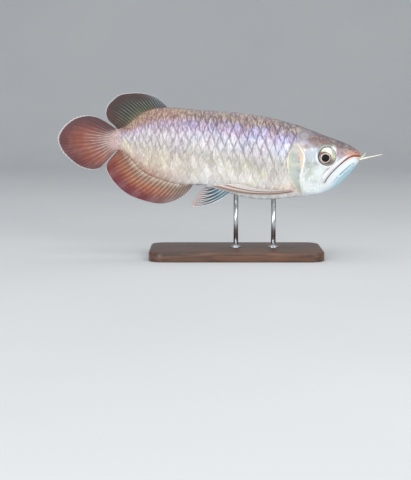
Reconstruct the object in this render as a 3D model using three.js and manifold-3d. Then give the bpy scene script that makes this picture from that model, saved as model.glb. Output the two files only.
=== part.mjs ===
// An Asian arowana as a still, life-size model on a plain display stand.
// Millimetres. The fish swims towards +X with its back towards +Z, and its left side is +Y.
// The origin is the middle of the stand's underside. The fish itself is drawn in its own frame,
// whose origin lies on the body's axis, and is then raised above the base by FISH_PLACE.

import * as THREE from "three";
import { mergeVertices } from "three/addons/utils/BufferGeometryUtils.js";
import Module from "manifold-3d";

const wasm = await Module();
wasm.setup();

// Driving sizes
const GAP = 0.3; // clearance between neighbouring pieces
const SNOUT_X = 153.9;
const PEDUNCLE_END_X = -160;
const NAPE_X = 79.2; // where the bony head ends and the scaled body begins
const VENT_X = -55; // where the trunk ends and the tail begins
const FISH_PLACE = [4, 0, 136];
const RIGHT = -1; // the side towards the viewer of the photo
const LEFT = 1;
const SIDES = { right: RIGHT, left: LEFT };

// Body lines in the fish's own frame, as [x, value] knots from the tail to the snout
const BACK_LINE = [
  [-161, 26.5], [-152, 27.3], [-144, 30.2], [-136, 36.4], [-128, 43.4], [-119, 49.4],
  [-107, 52.8], [-93, 53.9], [-75, 52.9], [-48, 50.5], [0, 47], [38, 41.3], [67, 33.4],
  [90, 25.9], [110, 18], [130, 10.8], [143, 4.6], [150, -0.4], [153, -4.4], [SNOUT_X, -8],
];
const BELLY_LINE = [
  [-161, 1.6], [-152, 0.6], [-146, -3.2], [-139, -9.6], [-131, -18.8], [-122, -27.2],
  [-108, -34.4], [-89, -40.6], [-71, -44.2], [-57, -44], [-44, -44.6], [-30, -48.2],
  [-14, -53.8], [4, -58.9], [20, -61.6], [36, -62.3], [52, -61.4], [68, -59.6], [86, -57.8],
  [100, -56.2], [115, -50.8], [129, -41.4], [141, -28.6], [149.5, -17.4], [152.8, -11.4],
  [SNOUT_X, -8],
];
const HALF_WIDTH = [
  [-161, 2.2], [-152, 3.8], [-140, 6], [-120, 9.6], [-90, 14.2], [-50, 18.4], [0, 21.6],
  [40, 22.4], [70, 21.6], [92, 20.2], [112, 17.9], [130, 14.6], [143, 10.6], [150, 6.8],
  [153, 3], [SNOUT_X, 0.2],
];
// Height of the widest point, as a share of the depth from the belly up
const WIDEST = [[-160, 0.5], [-60, 0.52], [40, 0.55], [90, 0.55], [120, 0.52], [154, 0.5]];
// How square the back is: 2 is round, and more is flatter on top
const BACK_SQUARENESS = [[-160, 2], [-60, 2.2], [40, 2.4], [90, 2.8], [125, 3.2], [154, 2.4]];
// How sharply the flanks close on the belly: 0.5 is round, and 1 is a keel
const KEEL = [[-160, 0.55], [-60, 0.7], [0, 0.66], [60, 0.62], [100, 0.58], [154, 0.5]];
const BELLY_SQUARENESS = 2.2;

// A smooth line through its knots
function smoothLine(knots) {
  const places = knots.map(([x]) => x);
  const values = knots.map(([, value]) => value);
  const line = new THREE.CubicInterpolant(places, values, 1);
  return (x) => line.evaluate(x)[0];
}

const backZ = smoothLine(BACK_LINE);
const bellyZ = smoothLine(BELLY_LINE);
const halfWidth = smoothLine(HALF_WIDTH);
const widest = smoothLine(WIDEST);
const backSquareness = smoothLine(BACK_SQUARENESS);
const keel = smoothLine(KEEL);

// The body's section at x, made larger all round by grow
function section(x, grow = 0) {
  const top = backZ(x) + grow;
  const bottom = bellyZ(x) - grow;
  return { x, top, bottom, middle: bottom + (top - bottom) * widest(x), half: halfWidth(x) + grow };
}

// How far out the flank stands at a height in a section
function flankY(cut, z) {
  const up = z >= cut.middle;
  const reach = up ? cut.top - cut.middle : cut.middle - cut.bottom;
  const share = Math.min(1, Math.abs(z - cut.middle) / reach);
  const power = up ? 0.5 : keel(cut.x);
  return cut.half * (1 - share ** (up ? backSquareness(cut.x) : BELLY_SQUARENESS)) ** power;
}

// A point of a section at an angle from the back: 0 is the back, PI is the belly, and the left side comes first
function sectionPoint(cut, angle) {
  const rise = Math.cos(angle);
  const reach = rise >= 0 ? cut.top - cut.middle : cut.middle - cut.bottom;
  const z = cut.middle + rise * reach;
  return new THREE.Vector3(cut.x, Math.sign(Math.sin(angle)) * flankY(cut, z), z);
}

// Solids

// A closed geometry as a solid. Faces that have shrunk to a line are dropped.
function solidOf(geometry) {
  const bare = geometry.clone();
  bare.deleteAttribute("normal");
  bare.deleteAttribute("uv");
  const merged = mergeVertices(bare, 1e-4);
  const corners = merged.index.array;
  const kept = [];
  for (let i = 0; i < corners.length; i += 3) {
    const [a, b, c] = corners.slice(i, i + 3);
    if (a !== b && b !== c && c !== a) kept.push(a, b, c);
  }
  const mesh = new wasm.Mesh({
    numProp: 3,
    vertProperties: merged.attributes.position.array,
    triVerts: Uint32Array.from(kept),
  });
  return new wasm.Manifold(mesh);
}

// The same, turned right side out if its faces point inwards
function outwardSolid(geometry) {
  const solid = solidOf(geometry);
  return solid.volume() > 0 ? solid : solidOf(geometry.setIndex([...geometry.index.array].reverse()));
}

// The largest of the closed surfaces that a cut leaves
function largest(solid) {
  return solid.decompose().reduce((a, b) => (b.volume() > a.volume() ? b : a));
}

function join(solids) {
  return solids.reduce((a, b) => a.add(b));
}

function triangleGeometry(positions) {
  return new THREE.BufferGeometry().setAttribute(
    "position",
    new THREE.Float32BufferAttribute(positions, 3),
  );
}

// A closed plate between two faces. pointAt(s, t, face) gives a point of the face 1 or -1, with s and t
// from 0 to 1, and both faces are split into the same triangles.
function plateSolid(across, along, pointAt) {
  const grid = new THREE.PlaneGeometry(1, 1, across, along);
  const count = grid.attributes.position.count;
  const corners = [...grid.index.array];
  const positions = [];
  for (const face of [1, -1]) {
    for (let i = 0; i < count; i += 1) {
      const s = (i % (across + 1)) / across;
      const t = Math.floor(i / (across + 1)) / along;
      positions.push(...pointAt(s, t, face));
    }
  }
  const back = [];
  for (let i = 0; i < corners.length; i += 3) {
    back.push(corners[i] + count, corners[i + 2] + count, corners[i + 1] + count);
  }
  const rim = [];
  for (let i = 0; i <= across; i += 1) rim.push(i);
  for (let j = 1; j <= along; j += 1) rim.push(j * (across + 1) + across);
  for (let i = across - 1; i >= 0; i -= 1) rim.push(along * (across + 1) + i);
  for (let j = along - 1; j >= 1; j -= 1) rim.push(j * (across + 1));
  const edge = rim.flatMap((a, i) => {
    const b = rim[(i + 1) % rim.length];
    return [a, b, a + count, b, b + count, a + count];
  });
  return outwardSolid(triangleGeometry(positions).setIndex([...corners, ...back, ...edge]));
}

// A stretch of the smooth body from x0 to x1, closed at both ends, with its sections closer near the ends
const END_CROWDING = 0.8;
function bodySolid({ x0, x1, around, along, grow = 0 }) {
  const ball = new THREE.SphereGeometry(1, around, along);
  const place = ball.attributes.position;
  for (let i = 0; i < place.count; i += 1) {
    const share = Math.acos(THREE.MathUtils.clamp(place.getY(i), -1, 1)) / Math.PI;
    const eased = THREE.MathUtils.lerp(1 - share, (1 + Math.cos(Math.PI * share)) / 2, END_CROWDING);
    const cut = section(x0 + (x1 - x0) * eased, grow);
    const pole = share < 1e-6 || share > 1 - 1e-6;
    const angle = Math.atan2(place.getX(i), place.getZ(i));
    const point = pole
      ? new THREE.Vector3(cut.x, 0, (cut.top + cut.bottom) / 2)
      : sectionPoint(cut, angle < 0 ? angle + 2 * Math.PI : angle);
    place.setXYZ(i, ...point);
  }
  return outwardSolid(ball);
}

// Scales

// Nine rows of large scales a side, with a row on the back and one on the belly, in columns that close
// up towards the tail. Columns count from TAPER_X towards the tail, and rows from the back down the left.
const ROWS = 18;
const COLUMN_PITCH = 11.05;
const TAPER_X = -62.2;
const TAPER_RATE = 0.0485;
const FIRST_COLUMN = -13;
const LAST_COLUMN = 12;
const ROUND_COLUMNS = 4; // behind this column the small scales have straight edges
const SCALE_LIFT = 0.06; // how far a scale's rear edge stands up, as a share of the column pitch
const MIDLINE_LIFT = 0.35; // the share of it that is left along the back and the belly
const FLANK_LIFT = SCALE_LIFT * COLUMN_PITCH;
const RIDGE_LIFT = MIDLINE_LIFT * FLANK_LIFT;
// The corners of a scale's rear edge, from its upper tip at -1 to its lower tip at 1
const ROUND_EDGE = [-1, -0.7, 0, 0.7, 1];
const STRAIGHT_EDGE = [-1, 0, 1];

function columnX(column) {
  const run = column <= 0 ? column : (1 - Math.exp(-TAPER_RATE * column)) / TAPER_RATE;
  return TAPER_X - COLUMN_PITCH * run;
}

function scaleLift(column, row) {
  const fromMidline = Math.min(row, ROWS - row, Math.abs(ROWS / 2 - row));
  const pitch = COLUMN_PITCH * Math.exp(-TAPER_RATE * Math.max(0, column));
  return SCALE_LIFT * pitch * THREE.MathUtils.lerp(MIDLINE_LIFT, 1, Math.min(1, fromMidline / 2));
}

// The angle in the section at x for a share of the way round from the back to the belly
const GIRTH_STEPS = 60;
const girthLines = new Map();
function girthLine(x) {
  const key = x.toFixed(3);
  if (!girthLines.has(key)) {
    const cut = section(x);
    const angles = Array.from({ length: GIRTH_STEPS + 1 }, (_, i) => (Math.PI * i) / GIRTH_STEPS);
    const points = angles.map((angle) => sectionPoint(cut, angle));
    const lengths = [0];
    for (let i = 1; i <= GIRTH_STEPS; i += 1) {
      lengths.push(lengths[i - 1] + points[i].distanceTo(points[i - 1]));
    }
    const shares = lengths.map((length) => length / lengths[GIRTH_STEPS]);
    girthLines.set(key, new THREE.LinearInterpolant(shares, angles, 1));
  }
  return girthLines.get(key);
}

// A point of the body at a column and a row, raised from the smooth flank by a share of the scale's lift
function scalePoint(column, row, share) {
  const x = columnX(column);
  const round = (2 * row) / ROWS;
  const angle = girthLine(x).evaluate(round <= 1 ? round : 2 - round)[0];
  const cut = section(x, share * scaleLift(column, row));
  return sectionPoint(cut, round <= 1 ? angle : 2 * Math.PI - angle);
}

// The body as one closed surface of overlapping scales. Each scale is an upright diamond with a rounded,
// raised rear edge, a step down to the scales behind it, and a front edge that lies under those ahead.
function scaledBody() {
  const positions = [];
  const faces = [];
  const known = new Map();
  const edges = new Set();

  const corner = (column, row, share) => {
    const turn = THREE.MathUtils.euclideanModulo(row, ROWS);
    const key = [column, turn, share].map((value) => value.toFixed(3)).join();
    if (!known.has(key)) {
      known.set(key, known.size);
      positions.push(...scalePoint(column, turn, share));
    }
    return known.get(key);
  };

  const addFace = (a, b, c) => {
    if (a === b || b === c || c === a) return;
    faces.push([a, b, c]);
    for (const edge of [[a, b], [b, c], [c, a]]) edges.add(edge.join());
  };

  const edgePlaces = (column) => (column > ROUND_COLUMNS ? STRAIGHT_EDGE : ROUND_EDGE);

  const addScale = (column, row) => {
    const rear = edgePlaces(column).map((place) => {
      const bulge = Math.sqrt(1 - place * place);
      const [x, y] = [column + 0.5 * bulge, row + place];
      return { place, top: corner(x, y, 0.5 + 0.5 * bulge), foot: corner(x, y, 0.5 * bulge) };
    });
    const front = edgePlaces(column - 0.5).map((rearPlace) => {
      const place = rearPlace % 1 === 0 ? rearPlace : Math.sign(rearPlace) - rearPlace;
      const bulge = Math.sqrt(1 - (1 - Math.abs(place)) ** 2);
      return { place, top: corner(column - 0.5 + 0.5 * bulge, row + place, 0.5 * bulge) };
    });
    let [i, j] = [0, 0];
    while (i < rear.length - 1 || j < front.length - 1) {
      const rearNext = rear[i + 1]?.place ?? Infinity;
      const frontNext = front[j + 1]?.place ?? Infinity;
      if (rearNext <= frontNext) {
        addFace(rear[i].top, front[j].top, rear[i + 1].top);
        i += 1;
      } else {
        addFace(rear[i].top, front[j].top, front[j + 1].top);
        j += 1;
      }
    }
    for (let k = 1; k < rear.length; k += 1) {
      addFace(rear[k - 1].foot, rear[k - 1].top, rear[k].top);
      addFace(rear[k - 1].foot, rear[k].top, rear[k].foot);
    }
  };

  for (let column = FIRST_COLUMN; column <= LAST_COLUMN; column += 0.5) {
    for (let row = column % 1 === 0 ? 1 : 0; row < ROWS; row += 2) addScale(column, row);
  }

  // Each open end is closed with a fan of faces to one point inside it
  const snoutEnd = known.size;
  const tailEnd = snoutEnd + 1;
  for (const x of [columnX(FIRST_COLUMN - 1), columnX(LAST_COLUMN + 1)]) {
    positions.push(x, 0, (backZ(x) + bellyZ(x)) / 2);
  }
  for (const edge of edges) {
    const [a, b] = edge.split(",").map(Number);
    if (!edges.has([b, a].join())) faces.push([b, a, positions[3 * a] > 0 ? snoutEnd : tailEnd]);
  }
  return solidOf(triangleGeometry(positions).setIndex(faces.flat()));
}

// Cuts

const CUT_WIDTH = 120; // wider than the fish
const CUT_HEIGHT = 260; // and higher

// A box from x0 to x1 that takes in the whole section
function slab(x0, x1) {
  const box = new THREE.BoxGeometry(x1 - x0, CUT_WIDTH, CUT_HEIGHT);
  return solidOf(box.translate((x0 + x1) / 2, 0, 0));
}

// An outline in the side view, given as [x, z] corners, cut right through the body
function sideCut(outline) {
  const shape = new THREE.Shape(outline.map(([x, z]) => new THREE.Vector2(x, z)));
  const prism = new THREE.ExtrudeGeometry(shape, { depth: CUT_WIDTH, bevelEnabled: false });
  return solidOf(prism.rotateX(Math.PI / 2).translate(0, CUT_WIDTH / 2, 0));
}

// Fins

// A fin of rays between a root line and a margin line, both curves in space. The rays are ridges in the
// fin's own faces, thick at the root and thin at the margin. Arch bends each ray away from a straight line,
// by a share of its length. Between the rays the web stops a little short of the margin. A lean above 1
// crowds the rays' roots forwards, so that the rays sweep back.
const WEB_NOTCH = 0.7;
function finSolid({
  root, margin, rays, steps, normal, arch, rootDepth, tipDepth = 0.35, webDepth = 0.3, lean = 1,
}) {
  const columns = 2 * (rays - 1);
  const away = new THREE.Vector3(...normal).normalize();
  const rootLine = new THREE.CatmullRomCurve3(root.map((p) => new THREE.Vector3(...p)));
  const marginLine = new THREE.CatmullRomCurve3(margin.map((p) => new THREE.Vector3(...p)));
  const bow = new THREE.Vector3(...arch);
  return plateSolid(columns, steps, (s, t, face) => {
    const ray = Math.round(s * columns) % 2 === 0;
    const from = rootLine.getPoint(s ** lean);
    const to = marginLine.getPoint(s);
    const length = from.distanceTo(to);
    const reach = ray ? 1 : 1 - WEB_NOTCH / Math.max(4, length);
    const along = t * reach;
    const bend = 4 * along * (1 - along) * length;
    const depth = ray ? THREE.MathUtils.lerp(rootDepth, tipDepth, along) : webDepth;
    return from.lerp(to, along).addScaledVector(bow, bend).addScaledVector(away, face * depth);
  });
}

// The dorsal fin stands far back, over the anal fin, with its first rays short.
const DORSAL_FIN = {
  root: [[-90, 0, 51], [-106, 0, 48], [-120, 0, 44], [-132, 0, 35], [-142, 0, 25], [-151, 0, 21]],
  margin: [
    [-93, 0, 57], [-103, 0, 65.4], [-113, 0, 70], [-126, 0, 72.6], [-140, 0, 72.3], [-152, 0, 70],
    [-161, 0, 63.6], [-167.4, 0, 56], [-169.5, 0, 47.6], [-166.4, 0, 38.6], [-158.6, 0, 32],
  ],
  rays: 18,
  steps: 3,
  normal: [0, 1, 0],
  arch: [0.03, 0, 0.03],
  rootDepth: 0.9,
  lean: 1.35,
};

// The anal fin is the larger one below, with a long base.
const ANAL_FIN = {
  root: [
    [-57, 0, -40], [-74, 0, -40], [-92, 0, -35], [-110, 0, -28], [-124, 0, -20], [-134, 0, -8],
    [-143, 0, 2], [-151, 0, 6],
  ],
  margin: [
    [-61, 0, -47.6], [-70, 0, -57], [-84, 0, -65], [-98.6, 0, -68.6], [-112.6, 0, -67.4],
    [-126, 0, -63.6], [-139.6, 0, -58.4], [-150.6, 0, -51], [-159.4, 0, -42], [-166, 0, -32.6],
    [-169.8, 0, -23], [-167.6, 0, -15.4], [-157.4, 0, -4.6],
  ],
  rays: 24,
  steps: 3,
  normal: [0, 1, 0],
  arch: [0.01, 0, -0.03],
  rootDepth: 0.9,
  lean: 1.4,
};

// The caudal fin is a rounded fan on the end of the peduncle.
const CAUDAL_FIN = {
  root: [[-152, 0, 24.4], [-155, 0, 19], [-156, 0, 14], [-155, 0, 9], [-152, 0, 3.6]],
  margin: [
    [-163, 0, 31.8], [-173, 0, 38.6], [-184, 0, 43.2], [-196, 0, 44], [-210, 0, 40],
    [-222, 0, 31], [-229.6, 0, 20], [-230.6, 0, 10], [-225.6, 0, -1], [-216, 0, -11.6],
    [-204, 0, -20.6], [-191, 0, -24.9], [-181, 0, -24.2], [-173.6, 0, -19.4], [-160, 0, -3.4],
  ],
  rays: 19,
  steps: 4,
  normal: [0, 1, 0],
  arch: [0, 0, 0],
  rootDepth: 0.9,
};

// A pectoral fin laid back along the belly, its thick first ray lowest and furthest out
function pectoralFin(side) {
  return {
    root: [[76, 8, -51], [75, 9.4, -48.6], [74, 10.6, -46.4]].map(([x, y, z]) => [x, side * y, z]),
    margin: [
      [-44, 25, -42.2], [-35, 24.8, -42], [-25, 24.4, -41.4], [-13, 24, -40.6], [0, 23.6, -40],
    ].map(([x, y, z]) => [x, side * y, z]),
    rays: 7,
    steps: 8,
    normal: [0, side, 0.35],
    arch: [0, side * 0.028, -0.066],
    rootDepth: 1.1,
    tipDepth: 0.4,
  };
}

// A pelvic fin hanging back from the belly
function pelvicFin(side) {
  return {
    root: [[-10, 3.6, -52], [-19, 4.6, -48.8], [-29, 5.4, -45]].map(([x, y, z]) => [x, side * y, z]),
    margin: [
      [-61, 14.6, -71.2], [-59.4, 14.2, -66.8], [-56, 13, -60.8], [-50.8, 11, -53.6],
      [-45, 9, -47.4],
    ].map(([x, y, z]) => [x, side * y, z]),
    rays: 6,
    steps: 5,
    normal: [0.1, side, 0.3],
    arch: [0.03, side * 0.011, -0.095],
    rootDepth: 0.9,
  };
}

// Head

// The slanting mouth, from the tip of the jaws back to the corner, then down behind the lower jaw
const MOUTH_EDGE = [
  [SNOUT_X, -7.2], [149, -6.9], [143, -6.8], [136.2, -9.4], [128.9, -14.8], [121.6, -21.4],
  [114.4, -29], [109, -36.2], [105.6, -42],
];
const MOUTH_GAP = 0.35;
const JAW_OUTLINE = [
  [180, -7.2], ...MOUTH_EDGE.slice(1), [103, -49], [98, -62], [98, -90], [180, -90],
];
const EYE_PLACE = { x: 109.4, z: -6.8, sink: 3.2, turn: 0.16 };
const EYE_RADII = [12.6, 7, 12.6];
const EYE_OPENING = 11.3;
const NOSTRILS = [[147, -2.2], [139.4, 1.8]];

// The way out of the flank at a place in the side view
function flankNormal(x, z, side) {
  const step = 0.05;
  const y = flankY(section(x), z);
  const slopeX = (flankY(section(x - step), z) - y) / step;
  const slopeZ = (y - flankY(section(x), z + step)) / step;
  return new THREE.Vector3(slopeX, side, slopeZ).normalize();
}

const LIP_EDGE = 0.25; // how deep a lip's edges sink into the flank
const LIP_SETBACK = 0.15; // how far its middle line starts behind the snout's outline
const snoutX = smoothLine([
  ...BELLY_LINE.filter(([x]) => x > 125).map(([x, z]) => [z, x]),
  ...BACK_LINE.filter(([x]) => x > 125 && x < SNOUT_X).map(([x, z]) => [z, x]).reverse(),
]);

// A raised band, rounded across, that follows a path in the side view from one corner of the mouth round
// the snout to the other. It lies off the path to the side that away gives: 1 is above, and -1 is below.
function lipSolid({ path, width, away, across, along, sunk, raised }) {
  const line = new THREE.SplineCurve(path.map(([x, z]) => new THREE.Vector2(x, z)));
  return plateSolid(across, 2 * along, (s, t, face) => {
    const turn = 2 * t - 1;
    const side = Math.abs(turn) < 1e-6 ? 0 : Math.sign(turn);
    const place = line.getPoint(Math.abs(turn));
    const heading = line.getTangent(Math.abs(turn));
    const off = away * s * width(Math.abs(turn));
    const z = place.y - heading.x * off;
    const x = Math.min(snoutX(z) - LIP_SETBACK, place.x + heading.y * off);
    const lift = face > 0 ? raised * Math.sin(Math.PI * s) - LIP_EDGE : -sunk;
    const point = new THREE.Vector3(x, side * flankY(section(x), z), z);
    return point.addScaledVector(flankNormal(x, z, side), lift);
  });
}
// The gill cover's free rear edge as [x, z] points, from the throat up to the nape. It meets the cheek at
// both ends.
const GILL_EDGE = [
  [78.4, -55.2], [73.6, -50], [68.6, -44], [62.8, -34], [59.8, -22], [59, -10], [60.2, -2],
  [63.6, 4], [68.6, 8], [73.4, 10.2], [78.4, 11.4],
];
const GILL_SUNK = 2.2;
const GILL_RAISED = 0.9;
const GILL_ROOM_HEIGHT = 8; // the room for a gill cover is open above it

// A gill cover lies on the flank behind the cheek. With spread it is the room that the cover needs.
function gillCover(side, spread = 0) {
  const line = new THREE.SplineCurve(GILL_EDGE.map(([x, z]) => new THREE.Vector2(x, z)));
  const front = NAPE_X - GAP + 2 * spread;
  return plateSolid(3, 16, (s, t, face) => {
    const edge = line.getPointAt(t);
    const heading = line.getTangentAt(t);
    const x = THREE.MathUtils.lerp(front, edge.x - heading.y * spread, s);
    const z = edge.y + heading.x * spread;
    const raised = spread ? GILL_ROOM_HEIGHT : GILL_RAISED;
    return [x, side * (flankY(section(x), z) + (face > 0 ? raised : -GILL_SUNK - spread)), z];
  });
}

// The upper lip and jaw bone are one band that widens towards the corners, and the lower lip is narrow.
const UPPER_LIP = {
  path: MOUTH_EDGE,
  width: (t) => THREE.MathUtils.lerp(2.6, 8, t ** 1.4) * Math.sqrt(1 - 0.96 * t ** 6),
  away: 1,
  across: 3,
  along: 11,
  sunk: 2,
  raised: 1.2,
};
const LOWER_LIP = {
  path: MOUTH_EDGE,
  width: (t) => 3 * Math.sqrt(1 - 0.96 * t ** 6),
  away: -1,
  across: 2,
  along: 11,
  sunk: 2,
  raised: 0.9,
};

function eyeCentre(side) {
  const y = flankY(section(EYE_PLACE.x), EYE_PLACE.z) - EYE_PLACE.sink;
  return [EYE_PLACE.x, side * y, EYE_PLACE.z];
}

function eyeball(side, grow = 0) {
  const ball = new THREE.SphereGeometry(1, 18, 10).scale(...EYE_RADII.map((r) => r + grow));
  return solidOf(ball.rotateZ(-side * EYE_PLACE.turn).translate(...eyeCentre(side)));
}

// The fleshy ring round the eye
function eyeRim(side) {
  const ring = new THREE.TorusGeometry(EYE_OPENING + 1, 1.3, 5, 18);
  const [x, y, z] = eyeCentre(side);
  ring.rotateX(Math.PI / 2).rotateZ(-side * EYE_PLACE.turn);
  return solidOf(ring.translate(x, y + side * EYE_PLACE.sink, z));
}

// A shallow pit in the snout
function nostril(side, [x, z]) {
  const pit = new THREE.SphereGeometry(1, 8, 6).scale(1.3, 2, 1);
  return solidOf(pit.translate(x, side * flankY(section(x), z), z));
}

// A soft feeler: a tapered rod along a curve from the chin
function barbelSolid(path) {
  const [sides, steps] = [6, 10];
  const [rootRadius, tipRadius] = [1.35, 0.35];
  const line = new THREE.CatmullRomCurve3(path.map((p) => new THREE.Vector3(...p)));
  const frames = line.computeFrenetFrames(steps, false);
  const rod = new THREE.CylinderGeometry(1, 1, 1, sides, steps);
  const place = rod.attributes.position;
  for (let i = 0; i < place.count; i += 1) {
    const step = Math.round((0.5 - place.getY(i)) * steps);
    const radius = THREE.MathUtils.lerp(rootRadius, tipRadius, step / steps);
    const point = line.getPointAt(step / steps);
    point.addScaledVector(frames.normals[step], radius * place.getX(i));
    point.addScaledVector(frames.binormals[step], radius * place.getZ(i));
    place.setXYZ(i, ...point);
  }
  return outwardSolid(rod);
}

const BARBELS = {
  right: [[149, -2.2, -12.4], [156, -3.2, -10.4], [168, -5, -7.6], [180.6, -6.4, -4.8]],
  left: [[149, 2.4, -12], [155, 7, -9.8], [160.4, 15, -7.2], [163.2, 24, -4]],
};

// Stand

const BASE = { length: 220, width: 104, height: 12, corner: 18, bevel: 1.5 };
const ROD_RADIUS = 3;
const ROD_PLACES = { front: 44, rear: -4 };
const ROD_SUNK = 8; // more than far enough up for the belly to trim the rod's end

function standBase() {
  const { length, width, height, corner, bevel } = BASE;
  const [hx, hy] = [length / 2 - bevel, width / 2 - bevel];
  const shape = new THREE.Shape();
  shape.absarc(hx - corner, hy - corner, corner, 0, Math.PI / 2);
  shape.absarc(corner - hx, hy - corner, corner, Math.PI / 2, Math.PI);
  shape.absarc(corner - hx, corner - hy, corner, Math.PI, 1.5 * Math.PI);
  shape.absarc(hx - corner, corner - hy, corner, 1.5 * Math.PI, 2 * Math.PI);
  const options = {
    depth: height - 2 * bevel, bevelThickness: bevel, bevelSize: bevel, bevelSegments: 1, curveSegments: 5,
  };
  return solidOf(new THREE.ExtrudeGeometry(shape, options).translate(0, 0, bevel));
}

// A rod from the base up into the belly, in the fish's own frame
function standRod(x) {
  const bottom = BASE.height + GAP - FISH_PLACE[2];
  const top = bellyZ(x) + ROD_SUNK;
  const rod = new THREE.CylinderGeometry(ROD_RADIUS, ROD_RADIUS, top - bottom, 16);
  return solidOf(rod.rotateX(Math.PI / 2).translate(x, 0, (top + bottom) / 2));
}

// Assembly

const FINISH = {
  skin: { color: 0xcdbdb8, roughness: 0.32, metalness: 0.15 },
  cheek: { color: 0xd8d4d0, roughness: 0.26, metalness: 0.2 },
  fin: { color: 0xa4625a, roughness: 0.42, metalness: 0 },
  dorsal: { color: 0x746a62, roughness: 0.42, metalness: 0 },
  paired: { color: 0xc8a79a, roughness: 0.42, metalness: 0 },
  eye: { color: 0x4a3a34, roughness: 0.08, metalness: 0 },
  barbel: { color: 0xe3d9b8, roughness: 0.4, metalness: 0 },
  wood: { color: 0x4a3226, roughness: 0.45, metalness: 0 },
  steel: { color: 0xb9bcc0, roughness: 0.3, metalness: 1 },
};
const MATERIALS = Object.fromEntries(
  Object.entries(FINISH).map(([name, look]) => [name, new THREE.MeshStandardMaterial(look)]),
);

const arowana = new THREE.Group();
const fish = new THREE.Group();
fish.position.set(...FISH_PLACE);
arowana.add(fish);

function addNode(group, name, material, solid) {
  const { vertProperties, triVerts } = largest(solid).getMesh();
  const geometry = new THREE.BufferGeometry();
  geometry.setAttribute("position", new THREE.BufferAttribute(vertProperties, 3));
  geometry.setIndex(new THREE.BufferAttribute(triVerts, 1));
  geometry.computeVertexNormals();
  const mesh = new THREE.Mesh(geometry, MATERIALS[material]);
  mesh.name = name;
  group.add(mesh);
}

const sides = Object.entries(SIDES);

// The room that the body takes up, with its scales: less along the back and the belly than on the flanks
function bodyRoom(lift) {
  const grown = bodySolid({ x0: PEDUNCLE_END_X - 4, x1: SNOUT_X, around: 36, along: 44, grow: GAP + lift });
  return grown.intersect(slab(PEDUNCLE_END_X - GAP, SNOUT_X + 5));
}
const ridgeRoom = bodyRoom(RIDGE_LIFT);
const flankRoom = bodyRoom(FLANK_LIFT);

// Head: the skull with its jaw bones and eye rims, the lower jaw, gill covers, eyes and barbels
const jawShape = sideCut(JAW_OUTLINE);
const smoothHead = bodySolid({ x0: NAPE_X - 3, x1: SNOUT_X, around: 28, along: 20 });
const headStock = smoothHead.intersect(slab(NAPE_X, SNOUT_X + 10));
const raised = join([headStock, lipSolid(UPPER_LIP), ...sides.map(([, side]) => eyeRim(side))]);
const hollows = sides.flatMap(([, side]) => [
  eyeball(side, GAP),
  ...NOSTRILS.map((place) => nostril(side, place)),
]);
const skull = raised.subtract(jawShape.translate([-GAP, 0, MOUTH_GAP])).subtract(join(hollows));
addNode(fish, "head", "cheek", skull);
addNode(fish, "lower_jaw", "cheek", headStock.add(lipSolid(LOWER_LIP)).intersect(jawShape));

// Body: the trunk under the gill covers and the tail behind the vent
const gillRoom = join(sides.map(([, side]) => gillCover(side, GAP)));
const scales = scaledBody();
const trunk = scales.intersect(slab(VENT_X, NAPE_X - GAP)).subtract(gillRoom);
addNode(fish, "trunk", "skin", trunk);
addNode(fish, "tail", "skin", scales.intersect(slab(PEDUNCLE_END_X, VENT_X - GAP)));

addNode(fish, "dorsal_fin", "dorsal", finSolid(DORSAL_FIN).subtract(ridgeRoom));
addNode(fish, "anal_fin", "fin", finSolid(ANAL_FIN).subtract(ridgeRoom));
addNode(fish, "caudal_fin", "fin", finSolid(CAUDAL_FIN).subtract(ridgeRoom));

for (const [name, side] of sides) {
  addNode(fish, `gill_cover_${name}`, "cheek", gillCover(side));
  addNode(fish, `eye_${name}`, "eye", eyeball(side));
  addNode(fish, `pectoral_fin_${name}`, "paired", finSolid(pectoralFin(side)).subtract(flankRoom));
  addNode(fish, `pelvic_fin_${name}`, "paired", finSolid(pelvicFin(side)).subtract(flankRoom));
  addNode(fish, `barbel_${name}`, "barbel", barbelSolid(BARBELS[name]).subtract(flankRoom));
}

addNode(arowana, "stand_base", "wood", standBase());
for (const [name, x] of Object.entries(ROD_PLACES)) {
  addNode(fish, `stand_rod_${name}`, "steel", standRod(x).subtract(ridgeRoom));
}

export default arowana;
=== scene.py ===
import math
import random

import bmesh
import bpy
import numpy as np
from mathutils import Matrix, Vector


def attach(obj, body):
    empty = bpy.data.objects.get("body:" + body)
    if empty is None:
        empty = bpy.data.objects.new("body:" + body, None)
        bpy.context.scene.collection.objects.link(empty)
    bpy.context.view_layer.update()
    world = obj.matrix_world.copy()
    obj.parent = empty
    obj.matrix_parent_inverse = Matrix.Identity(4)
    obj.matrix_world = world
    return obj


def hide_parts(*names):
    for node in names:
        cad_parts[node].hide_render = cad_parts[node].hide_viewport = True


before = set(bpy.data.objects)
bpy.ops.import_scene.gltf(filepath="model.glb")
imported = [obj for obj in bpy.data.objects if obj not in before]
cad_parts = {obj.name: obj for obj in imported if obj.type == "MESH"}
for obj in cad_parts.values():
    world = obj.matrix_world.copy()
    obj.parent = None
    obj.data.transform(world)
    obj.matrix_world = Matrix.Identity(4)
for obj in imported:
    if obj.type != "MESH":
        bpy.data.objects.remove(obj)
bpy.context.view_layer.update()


# Studio
# A pale sweep of backdrop paper runs under and behind the model, lit by soft boxes above and in front.
# The camera stands a little left of the fish's middle, level with its back, and looks slightly down.
CAMERA_PLACE = (-0.0388, -1.417, 0.2054)
CAMERA_PITCH = math.radians(82.6)
LENS = 83.7
SWEEP_HALF_WIDTH = 6.0
SWEEP_FRONT = -5.0
SWEEP_BACK = 3.0
SWEEP_BEND = 1.2
SWEEP_HEIGHT = 3.2
LIGHT_AIM = (0, 0, 0.13)


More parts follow.
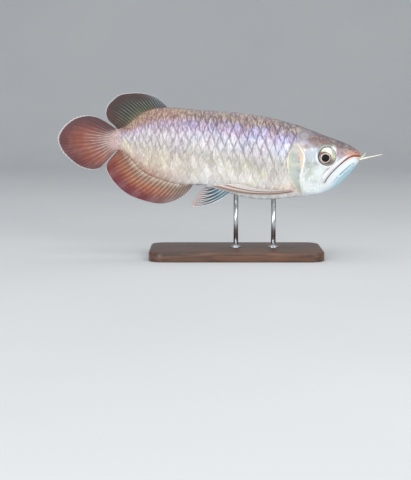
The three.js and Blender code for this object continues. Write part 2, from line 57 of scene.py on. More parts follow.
def paint(code):
    """A colour written as #rrggbb, in the linear values that a material reads."""
    parts = [int(code[i : i + 2], 16) / 255 for i in (1, 3, 5)]
    return tuple(p / 12.92 if p <= 0.04045 else ((p + 0.055) / 1.055) ** 2.4 for p in parts) + (1.0,)


def add_node(tree, kind, inputs=None, **settings):
    """A node whose inputs are filled by name or number, with a value or with another node's output."""
    node = tree.nodes.new("ShaderNode" + kind)
    for name, value in settings.items():
        setattr(node, name, value)
    for name, value in (inputs or {}).items():
        if isinstance(value, bpy.types.NodeSocket):
            tree.links.new(value, node.inputs[name])
        else:
            node.inputs[name].default_value = value
    return node


def tree_of(*values):
    """The node tree of the first value that is a node's output."""
    return next(value.id_data for value in values if isinstance(value, bpy.types.NodeSocket))


def object_place(tree):
    return add_node(tree, "TexCoord").outputs["Object"]


def noise(place, scale, detail=2.0, stretch=(1, 1, 1)):
    tree = tree_of(place)
    placed = add_node(tree, "Mapping", {"Vector": place, "Scale": stretch}).outputs[0]
    return add_node(tree, "TexNoise", {"Vector": placed, "Scale": scale, "Detail": detail}).outputs["Fac"]


def ramp(factor, stops):
    """Colours by a number, from (position, #rrggbb) stops."""
    node = add_node(tree_of(factor), "ValToRGB", {"Fac": factor})
    elements = node.color_ramp.elements
    for position, code in stops[:-2]:
        elements.new(position)
    for element, (position, code) in zip(elements, stops):
        element.position = position
    for element, (position, code) in zip(elements, stops):
        element.color = paint(code)
    return node.outputs["Color"]


def feed(node, **outputs):
    """Links other nodes' outputs to a node's sockets. Underscores stand for spaces."""
    for socket, output in outputs.items():
        node.id_data.links.new(output, node.inputs[socket.replace("_", " ")])


def new_material(name, **constants):
    """A material with its Principled shader's constant sockets set. Underscores stand for spaces."""
    material = bpy.data.materials.new(name)
    material.use_nodes = True
    shader = material.node_tree.nodes["Principled BSDF"]
    for socket, value in constants.items():
        shader.inputs[socket.replace("_", " ")].default_value = value
    return material, material.node_tree, shader


def finish_piece(shape, name, material, stands_for=(), stage=False):
    """Makes a bmesh, already in metres and in place, an object of the model or of the stage."""
    mesh = bpy.data.meshes.new(name)
    shape.to_mesh(mesh)
    shape.free()
    mesh.shade_smooth()
    mesh.materials.append(material)
    piece = bpy.data.objects.new(name, mesh)
    bpy.context.scene.collection.objects.link(piece)
    if stage:
        return piece
    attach(piece, "root")
    if stands_for:
        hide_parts(*stands_for)
    return piece


camera = bpy.data.objects.new("photo_camera", bpy.data.cameras.new("photo_camera"))
camera.data.lens = LENS
camera.data.sensor_width = 36
camera.data.clip_end = 50
camera.location = CAMERA_PLACE
camera.rotation_euler = (CAMERA_PITCH, 0, 0)
bpy.context.scene.collection.objects.link(camera)
bpy.context.scene.camera = camera

paper, paper_tree, paper_shader = new_material("backdrop_paper", Roughness=0.9)
paper_mottle = noise(object_place(paper_tree), 3.0)
feed(paper_shader, Base_Color=ramp(paper_mottle, [(0.0, "#bfc1c3"), (1.0, "#c8cacb")]))

sweep = bmesh.new()
bmesh.ops.create_grid(sweep, x_segments=2, y_segments=96, size=1)
flat_run = SWEEP_BACK - SWEEP_FRONT - SWEEP_BEND
bend_run = SWEEP_BEND * math.pi / 2
for vertex in sweep.verts:
    run = (vertex.co.y + 1) / 2 * (flat_run + bend_run + SWEEP_HEIGHT - SWEEP_BEND)
    turn = min(max(run - flat_run, 0) / SWEEP_BEND, math.pi / 2)
    wall = max(run - flat_run - bend_run, 0)
    vertex.co = (
        SWEEP_HALF_WIDTH * vertex.co.x,
        SWEEP_FRONT + min(run, flat_run) + SWEEP_BEND * math.sin(turn),
        SWEEP_BEND * (1 - math.cos(turn)) + wall,
    )
finish_piece(sweep, "backdrop_sweep", paper, stage=True)

SOFT_BOXES = {
    "key_box": {"place": (0.8, -1.4, 0.7), "size": 0.8, "watts": 11},
    "front_box": {"place": (-0.8, -1.5, 0.32), "size": 0.6, "watts": 12.5},
    "top_box": {"place": (0.0, -0.1, 1.4), "size": 1.4, "watts": 10},
}
for name, box in SOFT_BOXES.items():
    lamp = bpy.data.objects.new(name, bpy.data.lights.new(name, "AREA"))
    lamp.data.shape = "SQUARE"
    lamp.data.size = box["size"]
    lamp.data.energy = box["watts"]
    lamp.location = box["place"]
    lamp.visible_camera = False
    lamp.rotation_euler = (Vector(LIGHT_AIM) - lamp.location).to_track_quat("-Z", "Y").to_euler()
    bpy.context.scene.collection.objects.link(lamp)

studio = bpy.data.worlds.new("studio")
studio.use_nodes = True
studio.node_tree.nodes["Background"].inputs["Color"].default_value = paint("#e6eaee")
studio.node_tree.nodes["Background"].inputs["Strength"].default_value = 0.75
bpy.context.scene.world = studio
bpy.context.scene.view_settings.view_transform = "Standard"


# Skin
# One continuous hide runs from the snout to the root of the tail fin. On the head it lies straight on
# the bone, with the mouth, lips, gill covers and eye sockets in its own surface, and on the body it lies
# just below the scales. All lengths from here on are millimetres in the fish's own frame.
FISH_PLACE = (4, 0, 136)
FISH_FRAME = Matrix.Scale(0.001, 4) @ Matrix.Translation(FISH_PLACE)
SNOUT_X = 153.9
SKIN_END_X = -158.5
BACK_LINE = [
    (-161, 26.5), (-152, 27.3), (-144, 30.2), (-136, 36.4), (-128, 43.4), (-119, 49.4), (-107, 52.8),
    (-93, 53.9), (-75, 52.9), (-48, 50.5), (0, 47), (38, 41.3), (67, 33.4), (90, 25.9), (110, 18),
    (130, 10.8), (143, 4.6), (150, -0.4), (153, -4.4), (SNOUT_X, -8),
]
BELLY_LINE = [
    (-161, 1.6), (-152, 0.6), (-146, -3.2), (-139, -9.6), (-131, -18.8), (-122, -27.2), (-108, -34.4),
    (-89, -40.6), (-71, -44.2), (-57, -44), (-44, -44.6), (-30, -48.2), (-14, -53.8), (4, -58.9),
    (20, -61.6), (36, -62.3), (52, -61.4), (68, -59.6), (86, -57.8), (100, -56.2), (115, -50.8),
    (129, -41.4), (141, -28.6), (149.5, -17.4), (152.8, -11.4), (SNOUT_X, -8),
]
HALF_WIDTH = [
    (-161, 2.2), (-152, 3.8), (-140, 6), (-120, 9.6), (-90, 14.2), (-50, 18.4), (0, 21.6), (40, 22.4),
    (70, 21.6), (92, 20.2), (112, 17.9), (130, 14.6), (143, 10.6), (150, 6.8), (153, 3), (SNOUT_X, 0.2),
]
WIDEST = [(-160, 0.5), (-60, 0.52), (40, 0.55), (90, 0.55), (120, 0.52), (154, 0.5)]
BACK_SQUARENESS = [(-160, 2), (-60, 2.2), (40, 2.4), (90, 2.8), (125, 3.2), (154, 2.4)]
BELLY_SQUARENESS = 2.2
KEEL = [(-160, 0.55), (-60, 0.7), (0, 0.66), (60, 0.62), (100, 0.58), (154, 0.5)]
GIRTH_STEPS = 60

# The head skin's rear border as (z, x): the throat, the gill cover's free edge, and the nape
HEAD_EDGE = [
    (-80, 79.6), (-62, 79.4), (-55.2, 78.4), (-50, 73.6), (-44, 68.6), (-34, 62.8), (-22, 59.8),
    (-10, 59), (-2, 60.2), (4, 63.6), (8, 67), (11.4, 69.6), (15, 71), (20, 71.4), (27, 71), (40, 70.4),
]
# The light crease between cheek and gill cover, as (z, x)
CREASE_LINE = [
    (-60, 82), (-50, 79.5), (-40, 77), (-30, 76.4), (-22, 78), (-12, 80), (-3, 79.6), (4, 76), (10, 72),
]
# The mouth as (x, z), from its corner to the tip of the jaws
MOUTH_LINE = [
    (105.6, -42), (109, -36.2), (114.4, -29), (121.6, -21.4), (128.9, -14.8), (136.2, -9.4),
    (143, -6.8), (149, -6.9), (SNOUT_X, -7.2),
]
EYE_X = 109.4
EYE_Z = -6.8
EYE_OPENING = 11.3
NOSTRILS = [(147, -2.2), (139.4, 1.8)]
COAT_DEPTH = 0.45  # how far the hide lies below the scales' own surface
BODY_COLUMNS = 74
HEAD_COLUMNS = 150
ROWS_ROUND = 128  # from the back to the belly, on each side
MOUTH_ROW = 88  # the row that follows the mouth
MOUTH_SHARE = 0.7  # how far round from the back that row lies behind the mouth
SNOUT_CROWDING = 1.35  # how much closer the columns stand towards the snout
GILL_STEP = 0.55
CREASE_DEPTH = 0.55
CREASE_LIP = 0.35
SUTURE_DEPTH = 0.28
SUTURE_WIDTH = 0.8
UPPER_LIP_HEIGHT = 1.25
LOWER_LIP_HEIGHT = 0.9
LOWER_LIP_WIDTH = 3
MOUTH_DEPTH = 1.5
JAW_FOLDS = [(-9.6, 0.35), (-14.0, 0.25), (-19.5, 0.35)]  # how far off the mouth, and how deep
EYE_RIM_HEIGHT = 1.15
SOCKET_DEPTH = 5.5
NOSTRIL_RIM = 0.25
NOSTRIL_DEPTH = 1.3
NAPE_OVAL = {"x": 81.5, "z": 18.5, "reach_x": 6.2, "reach_z": 4.2}
SKULL_RIDGE = 0.12


def smooth_line(knots):
    """A smooth curve through (place, value) knots, for one place or an array of them."""
    place, value = np.array(knots, dtype=float).T
    last = len(place) - 1

    def at(x):
        x = np.clip(x, place[0], place[-1])
        i = np.clip(np.searchsorted(place, x, side="right"), 1, last)
        start, end = place[i - 1], place[i]
        before = np.where(i > 1, place[i - 2], 2 * start - end)
        after = np.where(i < last, place[np.minimum(i + 1, last)], 2 * end - start)
        value_before = np.where(i > 1, value[i - 2], value[i])
        value_after = np.where(i < last, value[np.minimum(i + 1, last)], value[i - 1])
        lead = (end - start) / 2 / (start - before)
        trail = (end - start) / 2 / (after - end)
        p = (x - start) / (end - start)
        total = (-lead * p**3 + 2 * lead * p**2 - lead * p) * value_before
        total += ((1 + lead) * p**3 - (1.5 + 2 * lead) * p**2 + (lead - 0.5) * p + 1) * value[i - 1]
        total += (-(1 + trail) * p**3 + (1.5 + trail) * p**2 + 0.5 * p) * value[i]
        return total + (trail * p**3 - trail * p**2) * value_after

    return at


back_z = smooth_line(BACK_LINE)
belly_z = smooth_line(BELLY_LINE)
half_width = smooth_line(HALF_WIDTH)
widest = smooth_line(WIDEST)
back_squareness = smooth_line(BACK_SQUARENESS)
keel = smooth_line(KEEL)
head_edge_x = smooth_line(HEAD_EDGE)
crease_line = smooth_line(CREASE_LINE)
mouth_z = smooth_line(MOUTH_LINE)


def smooth_step(value, low, high):
    share = np.clip((value - low) / (high - low), 0, 1)
    return share * share * (3 - 2 * share)


def bump(distance, reach):
    return np.exp(-((distance / reach) ** 2))


def section_heights(x, grow=0.0):
    """The top, the bottom and the widest height of the body's section at x."""
    top = back_z(x) + grow
    bottom = belly_z(x) - grow
    return top, bottom, bottom + (top - bottom) * widest(x)


def flank_y(x, z, grow=0.0):
    top, bottom, middle = section_heights(x, grow)
    up = z >= middle
    share = np.clip(np.abs(z - middle) / np.where(up, top - middle, middle - bottom), 0, 1)
    power = np.where(up, 0.5, keel(x))
    square = np.where(up, back_squareness(x), BELLY_SQUARENESS)
    return (half_width(x) + grow) * (1 - share**square) ** power


def girth_table(x):
    """For each section: the shares of the way round from back to belly at even steps of the angle."""
    angle = np.linspace(0, np.pi, GIRTH_STEPS + 1)
    top, bottom, middle = (line[:, None] for line in section_heights(x))
    rise = np.cos(angle)[None, :]
    z = middle + rise * np.where(rise >= 0, top - middle, middle - bottom)
    y = flank_y(x[:, None], z)
    length = np.cumsum(np.hypot(np.diff(y), np.diff(z)), axis=1)
    return np.concatenate([np.zeros((len(x), 1)), length / length[:, -1:]], axis=1)


def share_at_height(x, z):
    """How far round from the back a height lies in the section at x, as a share of the half girth."""
    top, bottom, middle = section_heights(x)
    reach = np.where(z >= middle, top - middle, middle - bottom)
    step = np.arccos(np.clip((z - middle) / reach, -1, 1)) / np.pi * GIRTH_STEPS
    low = np.minimum(step.astype(int), GIRTH_STEPS - 1)
    table = girth_table(x)
    rows = np.arange(len(x))
    return table[rows, low] + (table[rows, low + 1] - table[rows, low]) * (step - low)


def body_points(x, way_round, grow=0.0):
    """Points of the body: way_round is 0 on the back, 1 on the belly by the left, and -1 by the right."""
    share = np.abs(way_round)
    table = girth_table(x)
    low = np.clip((table < share[:, None]).sum(axis=1) - 1, 0, GIRTH_STEPS - 1)
    rows = np.arange(len(x))
    span = table[rows, low + 1] - table[rows, low]
    angle = (low + np.clip((share - table[rows, low]) / span, 0, 1)) / GIRTH_STEPS * np.pi
    top, bottom, middle = section_heights(x, grow)
    rise = np.cos(angle)
    z = middle + rise * np.where(rise >= 0, top - middle, middle - bottom)
    return np.stack([x, np.sign(way_round) * flank_y(x, z, grow), z], axis=1)


def set_points(shape, points):
    for vertex, point in zip(shape.verts, points):
        vertex.co = point


def points_of(shape):
    return np.array([vertex.co[:] for vertex in shape.verts])


def write_uv(mesh, name, place):
    """A UV map from one (u, v) place for each vertex."""
    corner = np.empty(len(mesh.loops), dtype=int)
    mesh.loops.foreach_get("vertex_index", corner)
    layer = mesh.uv_layers.new(name=name)
    layer.data.foreach_set("uv", place[corner].astype(np.float32).ravel())


def write_values(mesh, **lists):
    """For each name, a number at each vertex that a material can read by that name."""
    for name, values in lists.items():
        mesh.attributes.new(name, "FLOAT", "POINT").data.foreach_set("value", values.astype(np.float32))


# Rows crowd towards the mouth, which they follow from the snout to its corner
def row_distance(rows_away):
    return rows_away - 2 * (1 - np.exp(-rows_away / 2))


def row_share(row, mouth_share):
    above = mouth_share * (1 - row_distance(MOUTH_ROW - row) / row_distance(MOUTH_ROW))
    below = row_distance(row - MOUTH_ROW) / row_distance(ROWS_ROUND - MOUTH_ROW)
    return np.where(row <= MOUTH_ROW, above, mouth_share + (1 - mouth_share) * below)


# The body thins out onto the root of the tail fin
def tail_taper(x):
    return 1 - 0.8 * smooth_step(-x, 146, -SKIN_END_X)


skin = bmesh.new()
columns = BODY_COLUMNS + HEAD_COLUMNS
bmesh.ops.create_grid(skin, x_segments=columns, y_segments=2 * ROWS_ROUND, size=1)
grid = points_of(skin)
column = np.rint((grid[:, 0] + 1) / 2 * columns)
row = np.rint(grid[:, 1] * ROWS_ROUND)

edge_z = np.linspace(-60, 32, 200)
edge_share = share_at_height(head_edge_x(edge_z), edge_z)
plain_share = row_share(np.abs(row), MOUTH_SHARE)
edge_x = np.interp(plain_share, edge_share[::-1], head_edge_x(edge_z)[::-1])
body_run = column / (BODY_COLUMNS - 1)
head_run = np.clip((column - BODY_COLUMNS) / HEAD_COLUMNS, 0, 1)
station = np.where(
    column < BODY_COLUMNS,
    SKIN_END_X + (edge_x - 0.2 - SKIN_END_X) * body_run,
    edge_x + (SNOUT_X - 0.01 - edge_x) * (1 - (1 - head_run) ** SNOUT_CROWDING),
)
mouth_x = np.clip(station, MOUTH_LINE[0][0], SNOUT_X - 0.6)
mouth_share = share_at_height(mouth_x, mouth_z(mouth_x))
mouth_share = MOUTH_SHARE + (mouth_share - MOUTH_SHARE) * smooth_step(station, 86, MOUTH_LINE[0][0])
place = body_points(station, np.sign(row) * row_share(np.abs(row), mouth_share))
place[:, 1] *= tail_taper(place[:, 0])
place[column == columns] = (SNOUT_X, 0, -8)
set_points(skin, place)
bmesh.ops.remove_doubles(skin, verts=skin.verts, dist=1e-4)
bmesh.ops.holes_fill(skin, edges=skin.edges, sides=0)
bmesh.ops.recalc_face_normals(skin, faces=skin.faces)
skin.normal_update()

place = points_of(skin)
normals = np.array([vertex.normal[:] for vertex in skin.verts])
x, y, z = place.T

# How far each place lies off the mouth in the side view, positive above it, and how far along it
mouth_places = np.linspace(MOUTH_LINE[0][0], SNOUT_X, 160)
mouth_path = np.stack([mouth_places, mouth_z(mouth_places)], axis=1)
path_step = np.diff(mouth_path, axis=0)
path_length = np.hypot(*path_step.T)
path_heading = path_step / path_length[:, None]
off_mouth = np.full(len(x), 60.0)
along_mouth = np.zeros(len(x))
front = np.flatnonzero(x > 70)
gap = place[front][:, None, [0, 2]] - mouth_path[None, :-1]
run_in_step = np.clip((gap * path_heading).sum(axis=2), 0, path_length)
off_step = gap - run_in_step[:, :, None] * path_heading
distance = np.hypot(off_step[:, :, 0], off_step[:, :, 1])
nearest = distance.argmin(axis=1)
pick = np.arange(len(front))
heading_x, heading_z = path_heading[nearest].T
gap_x, gap_z = gap[pick, nearest].T
off_mouth[front] = distance[pick, nearest] * np.sign(heading_x * gap_z - heading_z * gap_x)
run_before = np.concatenate([[0], np.cumsum(path_length)])
along_mouth[front] = 1 - (run_before[nearest] + run_in_step[pick, nearest]) / run_before[-1]

ahead = x - head_edge_x(z)
on_head = ahead > -0.1
from_eye = np.hypot(x - EYE_X, z - EYE_Z)
gill_height = smooth_step(z, -56, -48) * (1 - smooth_step(z, 7, 12))
in_mouth = smooth_step(-along_mouth, -1.0, -0.93) * (x > 100)

# The gill cover's edge and the nape stand proud of the scales, and a groove parts gill cover and cheek
lift = np.where(on_head, (GILL_STEP + 0.45 * gill_height) * (1 - smooth_step(ahead, 1, 19)), -COAT_DEPTH)
off_crease = x - crease_line(z)
crease = CREASE_LIP * bump(off_crease - 1.8, 1.3) - CREASE_DEPTH * bump(off_crease, 0.8)
lift += gill_height * on_head * crease
# Two sutures part the cheek's plates
suture_one = np.abs(z + 14 + 0.35 * (100 - x) - 0.012 * (100 - x) ** 2)
suture_two = np.abs(x - 99 + 0.3 * (z + 24) + 0.02 * (z + 24) ** 2)
run_one = smooth_step(x, 82, 84) * (1 - smooth_step(x, 97, 99))
run_two = smooth_step(-z, 21, 23) * (1 - smooth_step(-z, 44, 50))
lift -= SUTURE_DEPTH * bump(suture_one, SUTURE_WIDTH) * run_one * on_head
lift -= SUTURE_DEPTH * bump(suture_two, SUTURE_WIDTH) * run_two * on_head
# Upper lip and jaw bone, lower lip, the cleft between them, and the lower jaw's folds
corner_taper = np.sqrt(np.clip(1 - 0.96 * along_mouth**6, 0.04, 1))
upper_share = np.clip(off_mouth / ((2.6 + 5.4 * along_mouth**1.4) * corner_taper), 0, 1)
lift += UPPER_LIP_HEIGHT * np.sin(np.pi * upper_share) ** 0.8 * (off_mouth > 0) * in_mouth
lower_share = np.clip(-off_mouth / (LOWER_LIP_WIDTH * corner_taper), 0, 1)
lift += LOWER_LIP_HEIGHT * np.sin(np.pi * lower_share) ** 0.8 * (off_mouth < 0) * in_mouth
lift -= MOUTH_DEPTH * bump(off_mouth, 0.32) * in_mouth
fold_reach = smooth_step(along_mouth, 0.12, 0.3) * (1 - smooth_step(along_mouth, 0.7, 0.95))
for fold_off, fold_depth in JAW_FOLDS:
    lift -= fold_depth * bump(off_mouth - fold_off, 0.7) * fold_reach * (x > 100)
# The rim of the eye, the socket that the eye fills, and the nostrils
lift += EYE_RIM_HEIGHT * bump(from_eye - EYE_OPENING - 1.2, 1.35) * on_head
lift -= SOCKET_DEPTH * (1 - smooth_step(from_eye, EYE_OPENING - 2.2, EYE_OPENING + 0.4))
nearest_nostril = np.full(len(x), 20.0)
for nostril_x, nostril_z in NOSTRILS:
    from_nostril = np.hypot(x - nostril_x, (z - nostril_z) * 1.4) + 2 * (np.abs(y) < 1)
    nearest_nostril = np.minimum(nearest_nostril, from_nostril)
    lift += NOSTRIL_RIM * bump(from_nostril - 1.8, 0.7) - NOSTRIL_DEPTH * bump(from_nostril, 0.9)
# A flat oval patch lies at the side of the nape
nape_x = (x - NAPE_OVAL["x"]) / NAPE_OVAL["reach_x"]
nape_z = (z - NAPE_OVAL["z"]) / NAPE_OVAL["reach_z"]
from_nape = np.hypot(nape_x, nape_z)
lift += on_head * (0.2 * (1 - smooth_step(from_nape, 0.8, 1.05)) - 0.25 * bump(from_nape - 1.08, 0.09))
# Low ridges of skin cross the skull's roof
on_roof = smooth_step(z, 4, 12) * smooth_step(x, 84, 92) * on_head
lift += SKULL_RIDGE * np.sin(0.55 * x + 0.9 * z) * on_roof
set_points(skin, place + normals * lift[:, None])
bmesh.ops.transform(skin, matrix=FISH_FRAME, verts=skin.verts)


def grey(level):
    """The #rrggbb code of a grey whose linear value is level."""
    shade = round(255 * (12.92 * level if level <= 0.0031308 else 1.055 * level ** (1 / 2.4) - 0.055))
    return f"#{shade:02x}{shade:02x}{shade:02x}"


def calc(operation, a, b=0.0):
    return add_node(tree_of(a, b), "Math", {0: a, 1: b}, operation=operation).outputs[0]


def plus(a, b):
    return calc("ADD", a, b)


def minus(a, b):
    return calc("SUBTRACT", a, b)


def inverse(share):
    return minus(1.0, share)


def product(first, *others):
    for other in others:
        first = calc("MULTIPLY", first, other)
    return first


def between(value, low, high):
    """0 below low, 1 above high, and smooth in between. With low above high it runs the other way."""
    reach = {"Value": value, "From Min": low, "From Max": high}
    return add_node(tree_of(value), "MapRange", reach, interpolation_type="SMOOTHSTEP").outputs["Result"]


def band(value, centre, reach):
    """1 where a number is at the centre, and 0 past the reach on either side."""
    return between(calc("ABSOLUTE", minus(value, centre)), reach, 0.0)


def remapped(value, low, high):
    """A number from 0 to 1 brought into the range from low to high."""
    return add_node(tree_of(value), "MapRange", {"Value": value, "To Min": low, "To Max": high}).outputs[0]


def raised(height, strength, distance):
    """The normal of a surface with a fine relief of that height."""
    inputs = {"Strength": strength, "Distance": distance, "Height": height}
    return add_node(tree_of(height), "Bump", inputs).outputs[0]


def tint(factor, under, over, mode="MIX"):
    """A colour laid over another one. Either may be a node's output or #rrggbb."""
    tree = tree_of(factor, under, over)
    under, over = (paint(c) if isinstance(c, str) else c for c in (under, over))
    mix = add_node(tree, "Mix", {0: factor, 6: under, 7: over}, data_type="RGBA", blend_type=mode)
    return mix.outputs[2]


def layers(colour, *coats):
    """A colour under coats of paint, each a (mask, colour) pair, laid on in turn."""
    for mask, over in coats:
        colour = tint(mask, colour, over)
    return colour


def attribute(tree, name):
    return add_node(tree, "Attribute", attribute_name=name).outputs["Fac"]


def uv_parts(tree, name):
    return add_node(tree, "SeparateXYZ", {0: add_node(tree, "UVMap", uv_map=name).outputs[0]}).outputs[:2]


def new_group(name, inputs, outputs):
    """A shader node group. Sockets are given as {name: kind}, kind being Float, Vector or Color."""
    group = bpy.data.node_groups.new(name, "ShaderNodeTree")
    for side, sockets in (("INPUT", inputs), ("OUTPUT", outputs)):
        for socket, kind in sockets.items():
            group.interface.new_socket(socket, in_out=side, socket_type="NodeSocket" + kind)
    given = group.nodes.new("NodeGroupInput").outputs[: len(inputs)]
    return group, given, group.nodes.new("NodeGroupOutput")


# The flank's markings, the same on the hide and on the scales: brown back, lavender and silver sides,
# cream and white below, warmer towards the tail. Tone differs from scale to scale.
markings, (flank_along, flank_round, flank_place, flank_tone), markings_out = new_group(
    "arowana_markings",
    {"Along": "Float", "Round": "Float", "Place": "Vector", "Tone": "Float"},
    {"Colour": "Color", "Edge Colour": "Color", "Edge Strength": "Float"},
)
drift = plus(product(minus(noise(flank_place, 38), 0.5), 0.16), product(flank_tone, 0.03))
round_here = plus(flank_round, minus(drift, 0.02))
# The palest grey at the very top of the back, at round 0, is a painted highlight along the back's rim
body_colour = ramp(round_here, [
    (0.0, "#a09ca1"), (0.05, "#8b8485"), (0.12, "#83756e"), (0.2, "#9c8d94"), (0.28, "#b3a6bd"),
    (0.36, "#b5b3be"), (0.46, "#afadad"), (0.56, "#b9b6b0"), (0.67, "#d4d1c9"), (0.78, "#ebe9e4"),
    (0.88, "#f6f8f7"), (1.0, "#f6fbfc"),
])
tail_colour = ramp(round_here, [
    (0.0, "#87735f"), (0.1, "#9c7760"), (0.2, "#a27d74"), (0.28, "#a38c97"), (0.38, "#a1969a"),
    (0.55, "#ada49c"), (0.7, "#bdac9c"), (0.85, "#bd9d89"), (1.0, "#b58b76"),
])
tailwards = between(flank_along, -0.25, -1.2)
flank_colour = tint(tailwards, body_colour, tail_colour)
# Olive, pinkish and violet drifts are mixed into the brown of the back, and it is grey at the nape
back_mask = between(flank_round, 0.3, 0.14)
back_noise = plus(noise(flank_place, 110), product(flank_tone, 0.25))
violet = tint(between(flank_along, -0.5, -0.9), "#a7a2d2", "#b39bb8")
flank_colour = layers(
    flank_colour,
    (product(back_mask, between(back_noise, 0.62, 0.72), 0.45), "#a1917a"),
    (product(back_mask, between(back_noise, 0.58, 0.48), 0.6), "#98747a"),
    (product(band(round_here, 0.235, 0.08), between(back_noise, 0.52, 0.64), 0.55), violet),
    (product(between(flank_along, 0.3, 0.62), between(flank_round, 0.26, 0.14), 0.55), "#7b7a81"),
)
# Pearly pink and blue drift over the upper side, and straw and rose over the lower side
sheen_noise = noise(flank_place, 42)
upper_side = product(between(flank_round, 0.16, 0.3), between(flank_round, 0.58, 0.4))
upper_side = product(upper_side, inverse(product(tailwards, 0.8)))
warm_noise = noise(flank_place, 60)
lower_side = product(between(flank_round, 0.42, 0.58), between(flank_round, 0.92, 0.76))
flank_colour = layers(
    flank_colour,
    (product(upper_side, between(sheen_noise, 0.5, 0.62), 0.38), "#d6b4c4"),
    (product(upper_side, between(sheen_noise, 0.5, 0.38), 0.5), "#aebce2"),
    (product(lower_side, between(warm_noise, 0.5, 0.62), 0.45), "#d8cfae"),
    (product(lower_side, between(warm_noise, 0.48, 0.38), 0.3), "#dcc6c6"),
)
# Short upright streaks of grey and cream
dashes = noise(flank_place, 330, 2.0, (1.6, 1, 0.5))
dash_mask = product(
    between(flank_round, 0.02, 0.1), between(flank_round, 1.0, 0.78),
    inverse(product(between(flank_round, 0.35, 0.6), 0.4)),
)
dark_streak = ramp(round_here, [
    (0.12, "#57474b"), (0.33, "#857c97"), (0.5, "#96929a"), (0.65, "#b3afaa"), (0.8, "#d4d2cd"),
])
light_streak = ramp(round_here, [
    (0.12, "#b9a596"), (0.28, "#d4cae2"), (0.38, "#e9e7ee"), (0.55, "#e9e6dd"), (0.75, "#f7f5ef"),
])
flank_colour = layers(
    flank_colour,
    (product(dash_mask, between(dashes, 0.49, 0.41), 0.55), dark_streak),
    (product(dash_mask, between(dashes, 0.52, 0.59), 0.6), light_streak),
)
# Peach grains lie along the root of the dorsal fin, a peach flush lies behind the gill cover, and the
# flesh at the root of the tail fin is bare
grains = noise(flank_place, 420, 1.0)
grain_mask = product(between(flank_along, -0.7, -1.0), between(flank_round, 0.27, 0.14))
tail_flesh = between(flank_along, -1.45, -1.57)
flank_colour = layers(
    flank_colour,
    (product(grain_mask, between(grains, 0.52, 0.6), 0.45), "#c9a68e"),
    (product(grain_mask, between(grains, 0.46, 0.38), 0.4), "#70574f"),
    (product(between(flank_along, 0.36, 0.58), band(flank_round, 0.84, 0.12), 0.45), "#ecc9b6"),
    (tail_flesh, "#bfa6a4"),
)
# The scales' edges are dark on the back and fade out low on the side, and the scales' painted shade beside
# the scales ahead takes the same colour and strength
edge_colour = ramp(round_here, [
    (0.0, "#4b3936"), (0.18, "#57444a"), (0.33, "#5f5a6f"), (0.5, "#7a7882"), (0.66, "#a29b97"),
    (0.82, "#bcb6ae"), (0.94, "#dfe1e0"), (1.0, "#eceff0"),
])
edge_colour = tint(product(tailwards, 0.6), edge_colour, "#7d6e6f")
edge_levels = [(0.0, 0.5), (0.25, 0.78), (0.42, 0.66), (0.52, 0.46), (0.62, 0.33), (0.8, 0.16), (1.0, 0.04)]
edge_break = plus(product(between(noise(flank_place, 150), 0.34, 0.56), 0.65), 0.35)
by_gills = product(between(flank_along, 0.1, 0.5), between(flank_round, 0.22, 0.36))
edge_strength = product(
    ramp(round_here, [(position, grey(level)) for position, level in edge_levels]), edge_break,
    inverse(tail_flesh), inverse(product(by_gills, 0.72)),
)
feed(markings_out, Colour=flank_colour, Edge_Colour=edge_colour, Edge_Strength=edge_strength)


def flank_marks(tree, place, tone):
    """The markings in a material: how far along and round the body it is, and the group's colours."""
    along, way_round = uv_parts(tree, "Lie")
    inputs = {"Along": along, "Round": way_round, "Place": place, "Tone": tone}
    return along, way_round, add_node(tree, "Group", inputs, node_tree=markings).outputs


hide, hide_tree, hide_shader = new_material("arowana_skin", Coat_Weight=0.25, Coat_Roughness=0.2)
hide_place = object_place(hide_tree)
hide_along, _, body_marks = flank_marks(hide_tree, hide_place, noise(hide_place, 90, 1.0))
head_x = product(hide_along, 100.0)
head_z, mouth_off, mouth_run, eye_off, edge_off, crease_off, nape_off, nostril_off = (
    attribute(hide_tree, name)
    for name in (
        "height", "mouth_off", "mouth_run", "eye_off", "edge_off", "crease_off", "nape_off", "nostril_off",
    )
)
flecks = noise(hide_place, 210, 3.0)
clouds = noise(hide_place, 55, 3.0, (1, 1, 1.6))
fine_clouds = noise(hide_place, 190, 5.0)
speckle = minus(fine_clouds, 0.5)
# Cheek and throat: pale silver above, greenish in the middle and white below
silver_streaks = noise(hide_place, 320, 4.0, (1.5, 1, 0.5))
head_colour = ramp(between(head_z, 8, -54), [
    (0.0, "#a4a2ab"), (0.2, "#b1b8bd"), (0.45, "#c6cbc6"), (0.65, "#dde4e4"), (0.85, "#eff4f4"),
    (1.0, "#effafb"),
])
head_colour = layers(
    head_colour,
    (product(between(silver_streaks, 0.5, 0.36), 0.3), "#a3a6a2"),
    (product(between(silver_streaks, 0.52, 0.64), 0.35), "#f8f9f6"),
    (product(between(clouds, 0.5, 0.62), 0.3), "#d6d2c2"),
    (product(between(clouds, 0.48, 0.38), 0.3), "#bcc9d2"),
)


def soft_spot(x, z, reach_x, reach_z, ragged=2.6):
    """A ragged oval on the head: 1 in its middle and 0 past its reach, in millimetres."""
    aside_x = calc("DIVIDE", minus(head_x, x), reach_x)
    aside_z = calc("DIVIDE", minus(head_z, z), reach_z)
    away = calc("SQRT", plus(product(aside_x, aside_x), product(aside_z, aside_z)))
    return between(plus(away, product(speckle, ragged)), 1.35, 0.2)


def spots(colour, kinds):
    """Ragged ovals of paint, each given as its place, its reach, its colour and how much it covers."""
    return layers(colour, *((product(soft_spot(*oval), share), code) for *oval, code, share in kinds))
